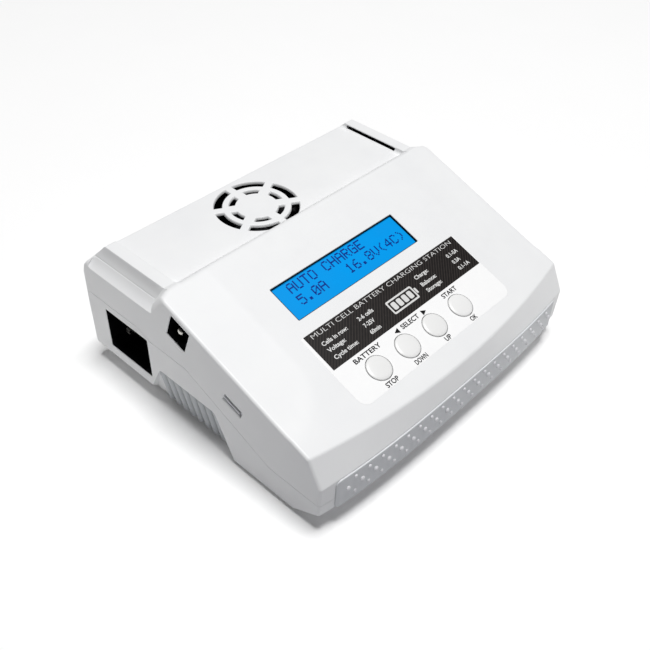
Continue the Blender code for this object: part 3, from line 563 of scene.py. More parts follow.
# black lining for the display opening: painted shade on its white walls
SHADE_LINING = moulded("lining_painted_shade", (0.004, 0.005, 0.004), (0.008, 0.009, 0.008), (0.5, 0.7), 0.1, 0.15)
EPOXY = moulded("chip_epoxy", (0.02, 0.02, 0.022), (0.032, 0.032, 0.034), (0.5, 0.65), 0.35)
SLEEVE = moulded("capacitor_sleeve", (0.01, 0.014, 0.05), (0.014, 0.02, 0.07), (0.25, 0.35), 0.1)
FERRITE = moulded("ferrite", (0.045, 0.045, 0.05), (0.07, 0.07, 0.075), (0.5, 0.7), 0.5)
CERAMIC = moulded("fuse_ceramic", (0.72, 0.69, 0.60), (0.64, 0.61, 0.52), (0.3, 0.45), 0.2)
GUIDE = moulded("light_guide", (0.74, 0.80, 0.86), (0.68, 0.75, 0.82), (0.2, 0.3), 0.05)
CHOKE = moulded("choke_green", (0.03, 0.13, 0.07), (0.045, 0.17, 0.09), (0.4, 0.55), 0.3)
NICKEL = metal_sheet("nickel_plate", (0.68, 0.66, 0.62), (0.56, 0.54, 0.50))
BRASS = metal_sheet("gilt_brass", (0.80, 0.58, 0.24), (0.68, 0.46, 0.17))
STEEL = metal_sheet("zinc_steel", (0.56, 0.56, 0.58), (0.46, 0.46, 0.48), (0.26, 0.42), (900, 900, 900))
TINPLATE = metal_sheet("black_tinplate", (0.02, 0.02, 0.022), (0.03, 0.03, 0.032), (0.3, 0.45))
FINNED = metal_sheet("heatsink_aluminium", (0.52, 0.53, 0.55), (0.42, 0.43, 0.46), (0.3, 0.48),
                     (3000, 80, 80))
BOARD = board_material()
LABEL = label_material()
DISPLAY = display_material()
CLEAR = clear_material()
TAPE = tape_material()
COPPER = copper_material()
RUBBER = rubber_material()


def surface(obj, mat):
    obj.data.materials.clear()
    obj.data.materials.append(mat)


def finish_piece(obj, mat, body="charger", replaces=""):
    """Give a piece its material, hang it on its body and hide the node it stands for."""
    surface(obj, mat)
    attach(obj, body)
    if replaces:
        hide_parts(replaces)


# ---- case
def front_lines(x):
    """y of the chamfer top, of the front face and of the foot of the front face at x."""
    far = abs(x) / HALF_WIDTH
    return -60.2 + 6.7 * far ** 2, -62.5 + 3.5 * far ** 3, -62.6 + 4.2 * far ** 3


CREASE_X, CREASE_TURN_V, CREASE_RUN = 49.5, 46.0, 17.5
CREASE_DROP, CREASE_SOFTNESS = 0.52, 7.0
CORNER_X, CORNER_PULL = 66.0, 2.2


def crease_edge(v):
    """How far out the flat middle of the console reaches: straight, then swept out to the sides."""
    if v <= CREASE_TURN_V:
        return CREASE_X
    reach = min(1.0, (v - CREASE_TURN_V) / CREASE_RUN)
    return CREASE_X + (HALF_WIDTH - CREASE_X) * (1 - sqrt(1 - reach ** 2))


def side_fall(x, v):
    """The outer strips of the console tip outward beyond a soft crease."""
    over = max(0.0, abs(x) - crease_edge(v))
    return CREASE_DROP * (1 - exp(-over / CREASE_SOFTNESS))


def corner_shift(x):
    """How far rounded corners draw in the outer ends of the crest and of the rear wall."""
    return CORNER_PULL * (max(0.0, abs(x) - CORNER_X) / (HALF_WIDTH - CORNER_X)) ** 3


RAIL_EDGE, RAIL_FOOT = (65.4, RAIL_Z), (66.9, 50.75)
TOP_PROFILE = rounded([(0, DECK_Z), (60.4, DECK_Z), (60.62, RAIL_Z), RAIL_EDGE, RAIL_FOOT,
                       (HALF_WIDTH, LEDGE_Z + 0.5)], [0, 1.5, 0.35, 0.35, 0.25, 0], 7)


def top_height(x):
    """Level behind the crest: sunk deck, raised rail, coved foot of the rail, ledge."""
    for (x0, z0), (x1, z1) in zip(TOP_PROFILE, TOP_PROFILE[1:]):
        if abs(x) <= x1:
            return z0 + (z1 - z0) * (abs(x) - x0) / max(1e-9, x1 - x0)
    return LEDGE_Z


PANEL_STEPS = 26


def case_outline(x):
    """Section of the case at x, as (y, z) pairs of one constant count."""
    top, face, foot = front_lines(x)
    shift, level = corner_shift(x), top_height(x)
    crest = 16.3 - shift
    run = [top + 2.6 + (crest - 2.4 - top - 2.6) * k / PANEL_STEPS for k in range(PANEL_STEPS + 1)]
    panel = [(y, panel_z(y) - side_fall(x, (CREST_Y - y) / COS)) for y in [top] + run]
    riser = 19.0 + (RAIL_Z - level) * 0.62 - shift
    edge = 60.4 - (level - LEDGE_Z) * 0.94 - 0.3 * shift
    rear = REAR_Y - 0.2 * shift
    points = [(face, 22.1)] + panel + [
        (crest, panel_z(crest) - side_fall(x, 0)), (riser, level), (edge, level),
        (rear - 1.7, 46.5), (rear - 0.5, 43.0), (rear, 28.0), (rear, 10.0), (rear - 0.4, 6.4),
        (57.6 - 0.2 * shift, UNDERSIDE_Z), (-46.4, UNDERSIDE_Z), (foot, 8.2)]
    radii = [1.5, 1.6] + [0] * (PANEL_STEPS + 1) + [2.4, 1.3, 1.4, 0, 0, 0, 0, 0, 1.3, 1.6, 1.5]
    return rounded(points, radii)


def case_stations():
    """Positions across the case, close together at the crease, rails and rounded side edges."""
    half = [x for x, _ in TOP_PROFILE if 0 < x < HALF_WIDTH - SIDE_EDGE_R]
    half += [10, 20, 30, 38, 44, 47, 48.5, 49.5, 50.5, 51.5, 53, 55, 57, 59]
    half += [HALF_WIDTH - SIDE_EDGE_R + SIDE_EDGE_R * sin(t) for t in quarter(6)]
    kept = []
    for x in sorted(half):
        if not kept or x - kept[-1] > 0.012:
            kept.append(x)
    return [-x for x in reversed(kept)] + [0.0] + kept


def case_solid():
    """The case with no hollow, both halves in one."""
    rings = []
    for x in case_stations():
        over = max(0.0, abs(x) - (HALF_WIDTH - SIDE_EDGE_R))
        depth = 0.85 * (SIDE_EDGE_R - sqrt(max(0.0, SIDE_EDGE_R ** 2 - over ** 2)))
        ring = inset(case_outline(x), depth) if depth > 1e-6 else case_outline(x)
        rings.append(at_x(x, ring))
    return loft(rings)


def case_room():
    """The hollow of the case: high under the deck, lower beside it under the ledges."""
    rings = []
    for x in (-68.1, -63.4, -63.1, -30, 0, 30, 63.1, 63.4, 68.1):
        top, face, foot = front_lines(x)
        drop = PANEL_T / COS
        high = abs(x) < 63.3
        roof = DECK_Z - WALL if high else LEDGE_Z - WALL
        ring = [(face + WALL, 21.3), (top + 1.5, panel_z(top + 1.5) - drop),
                (-30.0, panel_z(-30.0) - drop), (12.4, panel_z(12.4) - drop),
                (17.6 if high else 18.6, roof), (54.0 if high else 59.0, roof), (REAR_Y - WALL - 1.2, 44.6),
                (REAR_Y - WALL - 0.3, 40.0), (REAR_Y - WALL, 8.4), (57.0, UNDERSIDE_Z + 2.0),
                (-45.8, UNDERSIDE_Z + 2.0), (foot + WALL, 9.6)]
        rings.append(at_x(x, ring))
    return loft(rings)


def flared(points, low, high, lip=0.22):
    """Cutter along +height whose straight sides open out by a lip at height 0."""
    wide = inset(points, -2 * lip)
    return stacked([(points, low), (points, -lip), (wide, lip), (wide, high)])


def on_side(bm, side):
    """Move a mesh built as (y, z, height out of the side face) onto a side of the case."""
    place = Matrix(((0, 0, side, side * HALF_WIDTH), (1, 0, 0, 0), (0, 1, 0, 0), (0, 0, 0, 1)))
    bmesh.ops.transform(bm, matrix=place, verts=bm.verts)
    return bm


def slope_pair(v, n):
    """(y, z) of a panel coordinate pair."""
    return CREST_Y - v * COS - n * SIN, CREST_Z - v * SIN + n * COS


def slope_box(v, n, width, height, radius=0.3):
    """Rounded rectangle in the side face, square to the console."""
    signs = ((1, -1), (-1, -1), (-1, 1), (1, 1))
    corners = [slope_pair(v + a * width / 2, n + b * height / 2) for a, b in signs]
    return rounded(corners, [radius] * 4, 3)


def beyond_parting(lift, far_z):
    """Everything between the stepped parting line and the level far_z."""
    line = [(y, z + lift) for y, z in PARTING]
    return prism(line + [(-80, far_z), (80, far_z)], -FAR, FAR)


def rail_shaft(side):
    """Way down from a rail slot into the case."""
    low, high = sorted((side * 60.35, side * 62.9))
    return block(low, high, 23.9, 50.3, 50.5, RAIL_Z - 0.5)


def rail_scoop(side):
    """Long shallow hollow with rounded ends in the outer face of a rail."""
    depth, chord = 0.34, 5.7
    edge, foot = Vector(RAIL_EDGE), Vector(RAIL_FOOT)
    outward = Vector((edge.y - foot.y, foot.x - edge.x)).normalized()
    reach = (chord ** 2 / 4 + depth ** 2) / (2 * depth)
    least, y0, y1, end = reach - depth, 21.2, 57.8, 2.6
    centre = (edge + foot) / 2 + outward * least
    rings = []
    for k in range(33):
        y = y0 + (y1 - y0) * k / 32
        near = min(1.0, min(y - y0, y1 - y) / end)
        radius = least + (reach - least) * sqrt(max(0.0, 1 - (1 - near) ** 2))
        rings.append([(side * a, y, b) for a, b in circle(*centre, radius, 72)])
    return loft(rings)


# How far a grille slot is narrowed at each height over the deck.
SLOT_RIM = ((0.1, -6), (0.1, -GRILLE_T), (0.06, -0.75), (-0.04, -0.4), (-0.22, -0.14), (-0.5, 0), (-0.5, 3))


def grille_slots():
    """Six arc slots in each of two rings, left between six spokes, with softened rims."""
    made = []
    steps = 14
    for inner, outer, spoke in GRILLE_RINGS:
        for k in range(6):
            ring = []
            for r, turn in ((outer, 1), (inner, -1)):
                half = pi / 6 - asin(spoke / 2 / r)
                for i in range(steps + 1):
                    t = radians(60 * k) + turn * half * (2 * i / steps - 1)
                    ring.append((FAN_X + r * cos(t), FAN_Y + r * sin(t)))
            made.append(stacked([(inset(ring, grow), DECK_Z + h) for grow, h in SLOT_RIM]))
    return made


def grille_recess():
    """Thinner round of the deck above the fan."""
    return drum(FAN_X, FAN_Y, GRILLE_RECESS_R, DECK_Z - WALL - 2, DECK_Z - GRILLE_T, 96)


def grip_levels(x):
    """Lower and upper edge of the front strip at x; its ends are rounded off."""
    over = min(GRIP_CORNER_R, max(0.0, abs(x) - (GRIP_HALF - GRIP_CORNER_R)))
    drop = GRIP_CORNER_R - sqrt(GRIP_CORNER_R ** 2 - over ** 2)
    return GRIP_Z0 + 0.4 * drop, GRIP_Z1 - drop


def grip_stations(gap=0.0):
    """Positions across the front: even in the middle, close together round the corners."""
    straight = GRIP_HALF - GRIP_CORNER_R
    half = [straight * k / 40 for k in range(1, 41)]
    half += [straight + (GRIP_CORNER_R + gap) * sin(t) for t in quarter(8)[1:]]
    return [-x for x in reversed(half)] + [0.0] + half


def front_pocket(gap):
    """Bowed pocket of the front strip, wider than the strip by the gap."""
    rings = []
    for x in grip_stations(gap):
        face = front_lines(x)[1]
        y0, y1 = face - 5, face + GRIP_T - GRIP_OUT + gap
        low, high = grip_levels(x)
        rings.append([(x, y0, low - gap), (x, y1, low - gap), (x, y1, high + gap), (x, y0, high + gap)])
    return loft(rings)


def label_outline(grow=0.0):
    """Outline of the label in (u, -v), with its lower corners well rounded."""
    v0, v1 = LABEL_V0 - grow, LABEL_V1 + grow
    half = LABEL_HALF + grow
    corners = [(-half, -v1), (half, -v1), (half, -v0), (-half, -v0)]
    return rounded(corners, [LABEL_R, LABEL_R, 0.6, 0.6], 8)


def button_u(name):
    return middle("plunger_" + name)[0]


def header_span(cells):
    """Middle and half length of a balance header, as y, z, half."""
    y0, y1, z0, z1 = span("balance_header_%ds" % cells)[2:]
    return (y0 + y1) / 2, (z0 + z1) / 2, (y1 - y0) / 2


def build_case_top():
    shell = make("case_top", case_solid(), 0)
    cut(shell, case_room(), beyond_parting(SEAM, -20), front_pocket(GRIP_GAP))
    cut(shell, grille_recess(), *grille_slots())
    for side in (-1, 1):
        low, high = DECK_Z + 0.25, RAIL_Z - 0.5
        mouth = rounded([(23.4, low), (50.8, low), (50.8, high), (23.4, high)], [0.6] * 4)
        cut(shell, prism(mouth, *sorted((side * 59.0, side * 62.5))))
        cut(shell, rail_shaft(side), rail_scoop(side))
    cut(shell, on_panel(prism(label_outline(0.01), -LABEL_T, 5, "z")))
    window = rounded_box(LCD_W / 2, LCD_H / 2, LCD_CORNER_R, (LCD_U, -LCD_V), 3)
    cut(shell, on_panel(flared(window, -8, 5, 0.16)))
    for name in BUTTONS:
        cut(shell, panel_drum(button_u(name), BUTTON_V, KEY_HOLE_R + 0.02, -8, 3, 96))
    cut(shell, on_side(flared(slope_box(JACK_V, JACK_N, JACK_W + 0.4, JACK_H + 0.4), -10, 3), -1))
    cut(shell, on_side(flared(slope_box(PORT_V, PORT_N, PORT_W + 0.1, PORT_H + 0.1), -10, 3, 0.34), -1))
    for cells in CELLS:
        y, z, half = header_span(cells)
        hole = rounded_box(half + 0.25, HEADER_T / 2 + 0.25, 0.3, (y, z), 3)
        cut(shell, on_side(flared(hole, -9, 3), 1))
    tidy(shell)
    weighted(shell)
    finish_piece(shell, SHELL, replaces="top_shell")
    # the walls of the hollow, the fan recess and the rail shafts get the painted shade
    paint_inside_shade(shell, joined(case_room(), grille_recess(), rail_shaft(-1), rail_shaft(1)), INSIDE_SHADE)


def vent_recess(side):
    """Leaning hollow low on each side, deeper toward the bottom."""
    outline = rounded([(21.2, 20.0), (-8.5, 20.0), (-18.6, 0), (31.6, 0)], [2.2, 2.2, 0, 0])
    body = make("recess", prism(outline, 50 * side, FAR * side), 0)
    lean = [(vent_wall_x(HOLLOW_TOP_Z), HOLLOW_TOP_Z), (FAR, HOLLOW_TOP_Z), (FAR, HOLLOW_LOW_Z),
            (vent_wall_x(HOLLOW_LOW_Z), HOLLOW_LOW_Z)]
    boolean(body, "INTERSECT", prism([(side * x, z) for x, z in lean], -40, 60, "y"))
    return reopened(body)


def vent_wall_x(z):
    """|x| of the leaning wall in the vent hollow at a level."""
    share = (HOLLOW_TOP_Z - z) / (HOLLOW_TOP_Z - HOLLOW_LOW_Z)
    return HALF_WIDTH - HOLLOW_TOP_IN - (HOLLOW_LOW_IN - HOLLOW_TOP_IN) * share


def vent_ribs(side):
    """Rounded upright ribs that stand between the slots of a vent hollow."""
    made = []
    for k in range(len(VENT_YS) + 1):
        y = VENT_YS[0] + VENT_PITCH / 2 - VENT_PITCH * k
        rings = []
        for z in (2.1, 4.0, 8.0, 12.0, 16.0, 18.0, 19.2, 20.2):
            swell = 1.0 if z < 18 else max(0.15, 1.0 - (z - 18) / 2.4)
            x = vent_wall_x(z)
            ring = [(side * (x - 0.5 + RIB_OUT * swell * sin(t)), y + RIB_HALF * cos(t), z)
                    for t in [pi * i / 10 for i in range(11)]]
            rings.append(ring + [(side * (x - 0.9), y + end * RIB_HALF, z) for end in (-1, 1)])
        made.append(loft(rings))
    return made


# Outlines inside and below the lower half: (y, z) of the liner, (|x|, z) of the others.
LINER = ((-20.0, 2.6), (32.5, 2.6), (32.5, 6.0), (27.0, 12.3), (25.8, 12.3), (25.8, 21.4),
         (-15.0, 21.4), (-20.0, 18.0))
BACKING = ((63.5, 2.6), (69.2, 2.6), (69.2, 9.6), (67.6, 9.6))
VENT_SLOT = ((55, 17.8), (FAR, 17.8), (FAR, -1), (62.0, -1), (62.0, 5.0), (55, 5.0))
LOWER_EDGE = ((71.5, 9.9), (64.8, 0.5), (80, 0.5), (80, 9.9))


def build_case_bottom():
    shell = make("case_bottom", case_solid(), 0)
    cut(shell, case_room(), beyond_parting(-SEAM, FAR), front_pocket(GRIP_GAP))
    for side in (-1, 1):
        def across(outline, y0, y1):
            return prism([(side * x, z) for x, z in outline], y0, y1, "y")

        fuse(shell, prism(LINER, *sorted((side * (HALF_WIDTH - 7.4), side * (HALF_WIDTH - 1.2)))))
        fuse(shell, across(BACKING, BACKING_Y0, BACKING_Y1))
        cut(shell, vent_recess(side))
        cut(shell, *[across(VENT_SLOT, y - VENT_W / 2, y + VENT_W / 2) for y in VENT_YS])
        cut(shell, across(LOWER_EDGE, 20, 80))
    for name in SCREWS:
        x, y, z = middle(name)
        cut(shell, drum(x, y, 3.05, -1, 9.0, 40))
    for name in FEET:
        x, y, z = middle(name)
        cut(shell, drum(x, y, 5.25, -1, 2.4, 56))
    mouth = rounded_box(INLET_W / 2 + 0.22, INLET_H / 2 + 0.22, 0.35, (INLET_Y, INLET_Z), 3)
    cut(shell, on_side(flared(mouth, -12, 5, 0.2), -1))
    for name in ("negative", "positive"):
        x, y, z = middle("output_socket_" + name)
        cut(shell, on_side(flared(circle(y, z, OUTPUT_R, 64), -12, 5, 0.3), 1))
    tidy(shell)
    weighted(shell)
    finish_piece(shell, SHELL, replaces="bottom_shell")
    paint_inside_shade(shell, case_room(), INSIDE_SHADE)


def build_vent_ribs():
    for side, name in ((-1, "vent_ribs_left"), (1, "vent_ribs_right")):
        ribs = make(name, joined(*vent_ribs(side)), 40)
        finish_piece(ribs, RIBS_SHADED, replaces="bottom_shell")


def build_grip():
    """Bowed strip across the front with rows of three raised pips."""
    edge, arc = 0.35, quarter(5)
    rings = []
    for x in grip_stations():
        low, high = grip_levels(x)
        section = [(GRIP_T, low), (GRIP_T, high)]
        section += [(edge - edge * sin(t), high - edge + edge * cos(t)) for t in arc]
        section += [(edge - edge * cos(t), low + edge - edge * sin(t)) for t in arc]
        end = max(0.0, abs(x) - (GRIP_HALF - 1.2)) * 0.35
        face = front_lines(x)[1] - GRIP_OUT
        rings.append([(x, face + max(depth, end), z) for depth, z in section])
    strip = make("grip_strip", loft(rings))
    pips = []
    for k in range(PIP_GROUPS):
        for row, radius in enumerate(PIP_RADII):
            x = (k - (PIP_GROUPS - 1) / 2) * PIP_PITCH + (row - 1) * PIP_ROW_X
            z = PIP_MIDDLE_Z - (row - 1) * PIP_ROW_Z
            if abs(x) > GRIP_HALF - 1.8:
                continue
            face = front_lines(x)[1] - GRIP_OUT
            tall = PIP_FLATNESS * radius
            dome = [(radius * sin(t), tall * cos(t)) for t in quarter(6)[1:]]
            pip = lathe([(0, tall)] + dome + [(radius, -0.6), (0, -0.6)], 20)
            turn = Matrix.Translation((x, face, z)) @ Matrix.Rotation(pi / 2, 4, "X")
            bmesh.ops.transform(pip, matrix=turn, verts=pip.verts)
            pips.append(pip)
    fuse(strip, joined(*pips))
    tidy(strip, 34)
    weighted(strip)
    finish_piece(strip, GRIP, replaces="front_grip")
    strip.data.materials.append(PORT)
    for face in strip.data.polygons:
        x, y, z = face.center / MM
        if y < front_lines(x)[1] - GRIP_OUT - 0.02:
            face.material_index = 1


# ---- console
def lay_on_panel(obj):
    """Give an object the panel axes as its own, so that its material can follow the print."""
    place = PANEL.copy()
    place.translation = place.translation * MM
    obj.matrix_world = place
    return obj


def panel_object(name, bm, smooth=0.0):
    return lay_on_panel(make(name, bm, smooth))


def finish_print(obj, mat):
    finish_piece(obj, mat, replaces="panel_label")


def build_label():
    edge, proud = 0.05, 0.02
    outline = label_outline()
    layers = [(outline, proud - LABEL_T), (outline, proud - edge), (inset(outline, edge), proud)]
    sheet = panel_object("label_sheet", stacked(layers))
    bpy.context.view_layer.update()
    cut(sheet, *[panel_drum(button_u(name), BUTTON_V, KEY_HOLE_R, -3, 3, 96) for name in BUTTONS])
    tidy(sheet, 25)
    finish_print(sheet, LABEL)


INK_T = 0.045
SIGN_U, SIGN_V = 1.6, 48.2


def bar(u0, u1, v, tall):
    """Rounded bar of the print."""
    half = (u1 - u0) / 2
    outline = rounded_box(half, tall / 2, min(half, tall / 2) * 0.55, ((u0 + u1) / 2, -v), 3)
    return prism(outline, 0.0, INK_T, "z")


def letters(name, text, u0, u1, v, tall, mat, bold=0.0):
    """Flat raised lettering of the given height, fitted between two limits across the panel."""
    curve = bpy.data.curves.new(name, "FONT")
    curve.body = text
    curve.size = tall / 0.7 * MM
    curve.extrude = 0.022 * MM
    curve.offset = bold * MM
    curve.resolution_u = 4
    shape = linked(name + "_curve", curve)
    mesh = bpy.data.meshes.new_from_object(shape.evaluated_get(bpy.context.evaluated_depsgraph_get()))
    bpy.data.objects.remove(shape, do_unlink=True)
    across = [vertex.co.x for vertex in mesh.vertices]
    upright = [vertex.co.y for vertex in mesh.vertices]
    fit = Matrix.Diagonal(((u1 - u0) * MM / (max(across) - min(across)), 1.0, 1.0, 1.0))
    shift = Matrix.Translation((-min(across), -(max(upright) + min(upright)) / 2, 0.0))
    mesh.transform(Matrix.Translation(Vector((u0, -v, 0.03)) * MM) @ fit @ shift)
    finish_print(lay_on_panel(linked(name, mesh)), mat)


def arrow(u, v, size, side):
    """Small printed triangle that points to one side."""
    points = [(u - side * size * 0.45, -v - size * 0.5), (u + side * size * 0.55, -v),
              (u - side * size * 0.45, -v + size * 0.5)]
    return prism(points if side > 0 else points[::-1], 0.0, INK_T, "z")


def build_print():
    """Generic print: headline, two columns of small values, captions above and below the keys."""
    letters("headline", "MULTI CELL BATTERY CHARGING STATION", -38.0, 38.6, 40.3, 1.8, PALE_INK, -0.03)
    rows = (("Cells in row:", "2-6 cells", "Charge:", "0.1-5A"), ("Voltage:", "7-25V", "Balance:", "0.3A"),
            ("Cycle time:", "60min", "Storage:", "0.1-1A"))
    limits = ((-36.9, -24.6), (-18.9, -11.1), (12.9, 23.5), (31.9, 38.8))
    for k, row in enumerate(rows):
        for column, (text, (u0, u1)) in enumerate(zip(row, limits)):
            u1 = min(u1, u0 + 1.05 * len(text))
            letters("value_%d_%d" % (k, column), text, u0, u1, 44.5 + 3.25 * k, 1.6, PALE_INK, 0.055)
    # battery sign in the middle of the band: frame, terminal and four bars
    centre = (SIGN_U, -SIGN_V)
    sign = panel_object("battery_sign", prism(rounded_box(7.0, 2.9, 0.7, centre, 4), 0.0, INK_T, "z"))
    cut(sign, on_panel(prism(rounded_box(6.3, 2.2, 0.3, centre, 4), -1, 1, "z")))
    tidy(sign, 0)
    finish_print(sign, PALE_INK)
    bars = [bar(-3.9 + 2.9 * k, -1.7 + 2.9 * k, SIGN_V, 3.2) for k in range(4)]
    finish_print(panel_object("print_pale", joined(bar(8.9, 9.8, SIGN_V, 2.4), *bars)), PALE_INK)
    arrows = (arrow(-10.3, 56.3, 2.3, -1), arrow(4.6, 56.3, 2.3, 1))
    finish_print(panel_object("print_dark", joined(*arrows)), INK)
    captions = (("BATTERY", -32.6, -19.3, 56.1), ("SELECT", -7.7, 1.7, 56.1), ("START", 15.8, 23.9, 56.1),
                ("STOP", -29.7, -23.6, 69.2), ("DOWN", -14.2, -7.9, 69.2), ("UP", 2.6, 5.7, 69.2),
                ("OK", 17.7, 21.1, 69.2))
    for text, u0, u1, v in captions:
        letters("caption_" + text.lower(), text, u0, u1, v, 1.85, INK, 0.06)


# Seven rows of five dots for each character of the readout, each row as a binary number.
GLYPHS = {
    "A": (14, 17, 17, 31, 17, 17, 17), "U": (17, 17, 17, 17, 17, 17, 14), "T": (31, 4, 4, 4, 4, 4, 4),
    "O": (14, 17, 17, 17, 17, 17, 14), "C": (14, 17, 16, 16, 16, 17, 14), "H": (17, 17, 17, 31, 17, 17, 17),
    "R": (30, 17, 17, 30, 20, 18, 17), "G": (14, 17, 16, 23, 17, 17, 15), "E": (31, 16, 16, 30, 16, 16, 31),
    "5": (31, 16, 30, 1, 1, 17, 14), ".": (0, 0, 0, 0, 0, 12, 12), "0": (14, 17, 19, 21, 25, 17, 14),
    "1": (4, 12, 4, 4, 4, 4, 14), "6": (6, 8, 16, 30, 17, 17, 14), "8": (14, 17, 17, 14, 17, 17, 14),
    "V": (17, 17, 17, 17, 17, 10, 4), "(": (2, 4, 8, 8, 8, 4, 2), "4": (2, 6, 10, 18, 31, 2, 2),
    ")": (8, 4, 2, 2, 2, 4, 8),
}
DOT, CHARACTER = 0.6, 3.55
DISPLAY_N, READOUT_U = -1.1, -30.2


def readout(text, v):
    """Dot-matrix line of characters as small raised squares."""
    made = []
    half = DOT * 0.47
    for place, letter in enumerate(text):
        for row, bits in enumerate(GLYPHS.get(letter, (0,) * 7)):
            for column in range(5):
                if bits >> (4 - column) & 1:
                    a = READOUT_U + CHARACTER * place + DOT * column
                    b = -(v + DOT * row)
                    made.append(block(a - half, a + half, b - half, b + half, DISPLAY_N, DISPLAY_N + 0.03))
    return made


def build_display():
    half_w, half_h = LCD_W / 2 - 0.06, LCD_H / 2 - 0.06
    centre = (LCD_U, -LCD_V)
    outline = rounded_box(half_w, half_h, LCD_CORNER_R, centre, 3)
    face = panel_object("display_face", prism(outline, DISPLAY_N - 0.4, DISPLAY_N, "z"))
    finish_piece(face, DISPLAY, replaces="lcd_window")
    text = readout("AUTO CHARGE", 19.0) + readout("5.0A   16.8V(4C)", 24.7)
    dots = panel_object("display_readout", joined(*text))
    finish_piece(dots, DOTS, replaces="lcd_window")
    # thin black lining of the opening above the display: painted shade on the white walls of the opening
    wall, low, high = 0.16, DISPLAY_N + 0.01, -0.12
    inner = rounded_box(half_w - wall, half_h - wall, 0.2, centre, 3)
    bm = stacked([(outline, low), (outline, high), (inner, high), (inner, low)], False)
    first, last = bm.verts[:len(inner)], bm.verts[-len(inner):]
    for k in range(len(first)):
        j = (k + 1) % len(first)
        bm.faces.new((first[k], first[j], last[j], last[k]))
    finish_piece(panel_object("display_shade_lining", bm, 25), SHADE_LINING, replaces="lcd_window")


def build_buttons():
    flange = BUTTON_R + 1.5
    dome = [(BUTTON_R * k / 8, 0.72 - 0.32 * (k / 8) ** 2) for k in range(8)]
    rim = [(BUTTON_R - 0.42 + 0.42 * sin(t), -0.12 + 0.5 * cos(t)) for t in quarter(6)]
    stem = [(0, -7.6), (1.9, -7.6), (1.9, -2.9), (flange, -2.9), (flange, -2.65), (BUTTON_R, -2.65)]
    outline = stem + rim[::-1] + dome[::-1]
    for name in BUTTONS:
        cap = make("key_cap_" + name, on_panel(lathe(outline, 72, (button_u(name), -BUTTON_V, 0))))
        finish_piece(cap, KEYS, "key_" + name, replaces="button_" + name)


# ---- connectors
JACK_BORE_R, JACK_PIN_R = 3.8, 1.35


def build_jack():
    """Barrel jack: black housing with a wide bore and a bright round-nosed centre pin."""
    x0 = span("dc_jack_body")[0]
    at = (0, *slope_pair(JACK_V, JACK_N + 0.4))
    body = make("jack_housing", prism(slope_box(JACK_V, JACK_N, JACK_W, JACK_H), x0, x0 + 13), 0)
    lip, deep = JACK_BORE_R + 0.5, x0 + 10
    cut(body, lathe([(0, x0 - 1), (lip, x0 - 1), (lip, x0), (JACK_BORE_R, x0 + 0.5), (JACK_BORE_R, deep),
                     (0, deep)], 64, at, "x"))
    tidy(body, 30)
    finish_piece(body, MATT_BLACK, replaces="dc_jack_body")
    nose = [(JACK_PIN_R * sin(t), x0 + 1.4 - cos(t)) for t in quarter(8)]
    pin = make("jack_pin", lathe(nose + [(JACK_PIN_R, x0 + 12.5), (0, x0 + 12.5)], 40, at, "x"), 40)
    finish_piece(pin, NICKEL, replaces="dc_jack_pin")


def build_port():
    """Temperature probe socket: pale housing with a wide low mouth above a raised lip."""
    x0 = span("temperature_port")[0]
    outline = slope_box(PORT_V, PORT_N, PORT_W, PORT_H, 0.25)
    body = make("probe_socket", prism(outline, x0 + 0.3, x0 + 12), 0)
    fuse(body, prism(slope_box(PORT_V - 0.4, PORT_N - 0.65, 8.2, 0.8, 0.3), x0 - 0.4, x0 + 1))
    cut(body, prism(slope_box(PORT_V, PORT_N + 0.5, 8.0, 1.5, 0.15), x0 - 3, x0 + 8))
    tidy(body, 30)
    finish_piece(body, PORT, replaces="temperature_port")


def build_balance_pins():
    """Square pins in each balance header, one more than it has cells."""
    half = 0.32
    for cells in CELLS:
        y, z = header_span(cells)[:2]
        back = span("balance_header_%ds" % cells)[0] + 0.75
        pins = []
        for k in range(cells + 1):
            at = y + HEADER_PITCH * (k - cells / 2)
            pins.append(block(back + 0.9, back + 5.6, at - half, at + half, z + 0.1 - half, z + 0.1 + half))
        rack = make("balance_pins_%ds" % cells, joined(*pins), 0)
        ease_edges(rack, 0.12, 40)
        weighted(rack)
        finish_piece(rack, NICKEL)


# Nodes that keep their own mesh: material, width of the edge round and names.
CAD_LOOKS = (
    (MATT_BLACK, 0.15, "ac_inlet_body"),
    (BLACK, 0.15, "lcd_header output_socket_negative fan_frame"),
    (BLACK, 0.15, " ".join("plunger_%s switch_%s" % (name, name) for name in BUTTONS)),
    (RED, 0.15, "output_socket_positive"),
    (NICKEL, 0.12, "ac_pin_line ac_pin_neutral ac_pin_earth"),
    (BRASS, 0.08, "output_contact_negative output_contact_positive"),
    (IVORY, 0.12, " ".join("balance_header_%ds" % cells for cells in CELLS)),
    (BOARD, 0.08, "balance_board control_board lcd_board main_board"),
    (CLEAR, 0.1, "lcd_window"),
    (TINPLATE, 0.12, "lcd_bezel"),
    (DISPLAY, 0.08, "lcd_cell"),
    (GUIDE, 0.08, "lcd_backlight"),
    (EPOXY, 0.1, "controller_chip"),
    (ROTOR, 0.08, "fan_rotor"),
    (FERRITE, 0.25, "transformer_core"),
    (TAPE, 0.25, "transformer_winding"),
    (SLEEVE, 0.1, "bulk_capacitor"),
    (COPPER, 0.0, "output_inductor"),
    (CHOKE, 0.3, "mains_choke"),
    (CERAMIC, 0.2, "mains_fuse"),
    (FINNED, 0.12, "primary_heatsink output_heatsink"),
    (RUBBER, 0.15, " ".join(FEET)),
    (STEEL, 0.08, " ".join(SCREWS)),
)


def dress_cad():
    """Pieces that keep the shape of the frame: a surface, and a fine round on their edges."""
    for mat, width, names in CAD_LOOKS:
        for name in names.split():
            surface(bpy.data.objects[name], mat)
            if width:
                ease_edges(bpy.data.objects[name], width)


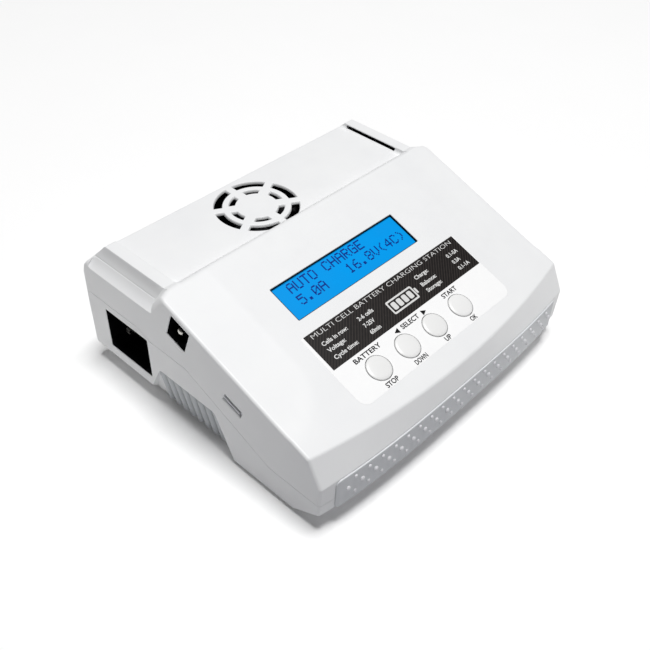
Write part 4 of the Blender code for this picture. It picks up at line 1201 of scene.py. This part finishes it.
# ---- surroundings
def floor_material():
    """White paper that throws back less light before the left front corner, as a grey card would."""
    g = Graph("paper_floor")
    pale = g.mix(g.ramp(g.noise(8, 3.0), 0.3, 0.7), (0.99, 0.99, 0.99), (0.985, 0.985, 0.985))
    left = g.ramp(g.axis("X"), -0.02, 0.06, 1.0, 0.0)
    front = g.ramp(g.axis("Y"), -0.06, 0.03, 1.0, 0.0)
    bounce = g.mix(g.math("MULTIPLY", left, front), (0.97, 0.97, 0.97), (0.64, 0.64, 0.66))
    pale = g.mix(g.add("ShaderNodeLightPath").outputs["Is Camera Ray"], bounce, pale)
    g.bump(g.noise(700, 3.0), 0.02, 0.0001)
    return g.finish(Base_Color=pale, Roughness=g.ramp(g.noise(30), 0.3, 0.7, 0.85, 0.95),
                    Emission_Color=(1.0, 1.0, 1.0, 1.0), Emission_Strength=0.05)


def build_stage():
    floor = make("floor", block(-3000, 3000, -3000, 3000, -20, 0), 0)
    floor.data.materials.append(floor_material())


LAMP_PLACE, LAMP_SIZE, LAMP_WATTS = (0.06, -0.17, 2.4), 0.85, 55.5
CAMERA_ANGLES = (-47.6, 41.95, 1.53)  # azimuth, elevation, roll
CAMERA_TARGET, CAMERA_DISTANCE, CAMERA_LENS = (5.95, 10.52, 0.0), 363.75, 48.05


def build_light():
    """One large soft lamp overhead and a faint white surround."""
    scene = bpy.context.scene
    scene.world = bpy.data.worlds.new("studio")
    scene.world.use_nodes = True
    surround = scene.world.node_tree.nodes["Background"]
    surround.inputs["Color"].default_value = (1.0, 1.0, 1.0, 1.0)
    surround.inputs["Strength"].default_value = 0.05
    data = bpy.data.lights.new("overhead", "AREA")
    data.size = LAMP_SIZE
    data.energy = LAMP_WATTS
    lamp = linked("overhead", data)
    lamp.location = LAMP_PLACE
    lamp.rotation_euler = (-Vector(LAMP_PLACE)).to_track_quat("-Z", "Y").to_euler()
    scene.view_settings.view_transform = "Standard"


def build_camera():
    azimuth, elevation, roll = (radians(angle) for angle in CAMERA_ANGLES)
    back = Vector((sin(azimuth) * cos(elevation), -cos(azimuth) * cos(elevation), sin(elevation)))
    data = bpy.data.cameras.new("camera")
    data.lens = CAMERA_LENS
    data.clip_start, data.clip_end = 0.01, 20.0
    camera = linked("camera", data)
    place = (Vector(CAMERA_TARGET) + back * CAMERA_DISTANCE) * MM
    turn = (-back).to_track_quat("-Z", "Y").to_matrix().to_4x4() @ Matrix.Rotation(roll, 4, "Z")
    camera.matrix_world = Matrix.Translation(place) @ turn
    bpy.context.scene.camera = camera


build_case_top()
build_case_bottom()
build_vent_ribs()
build_grip()
build_label()
build_print()
build_display()
build_buttons()
build_jack()
build_port()
build_balance_pins()
dress_cad()
build_stage()
build_light()
build_camera()
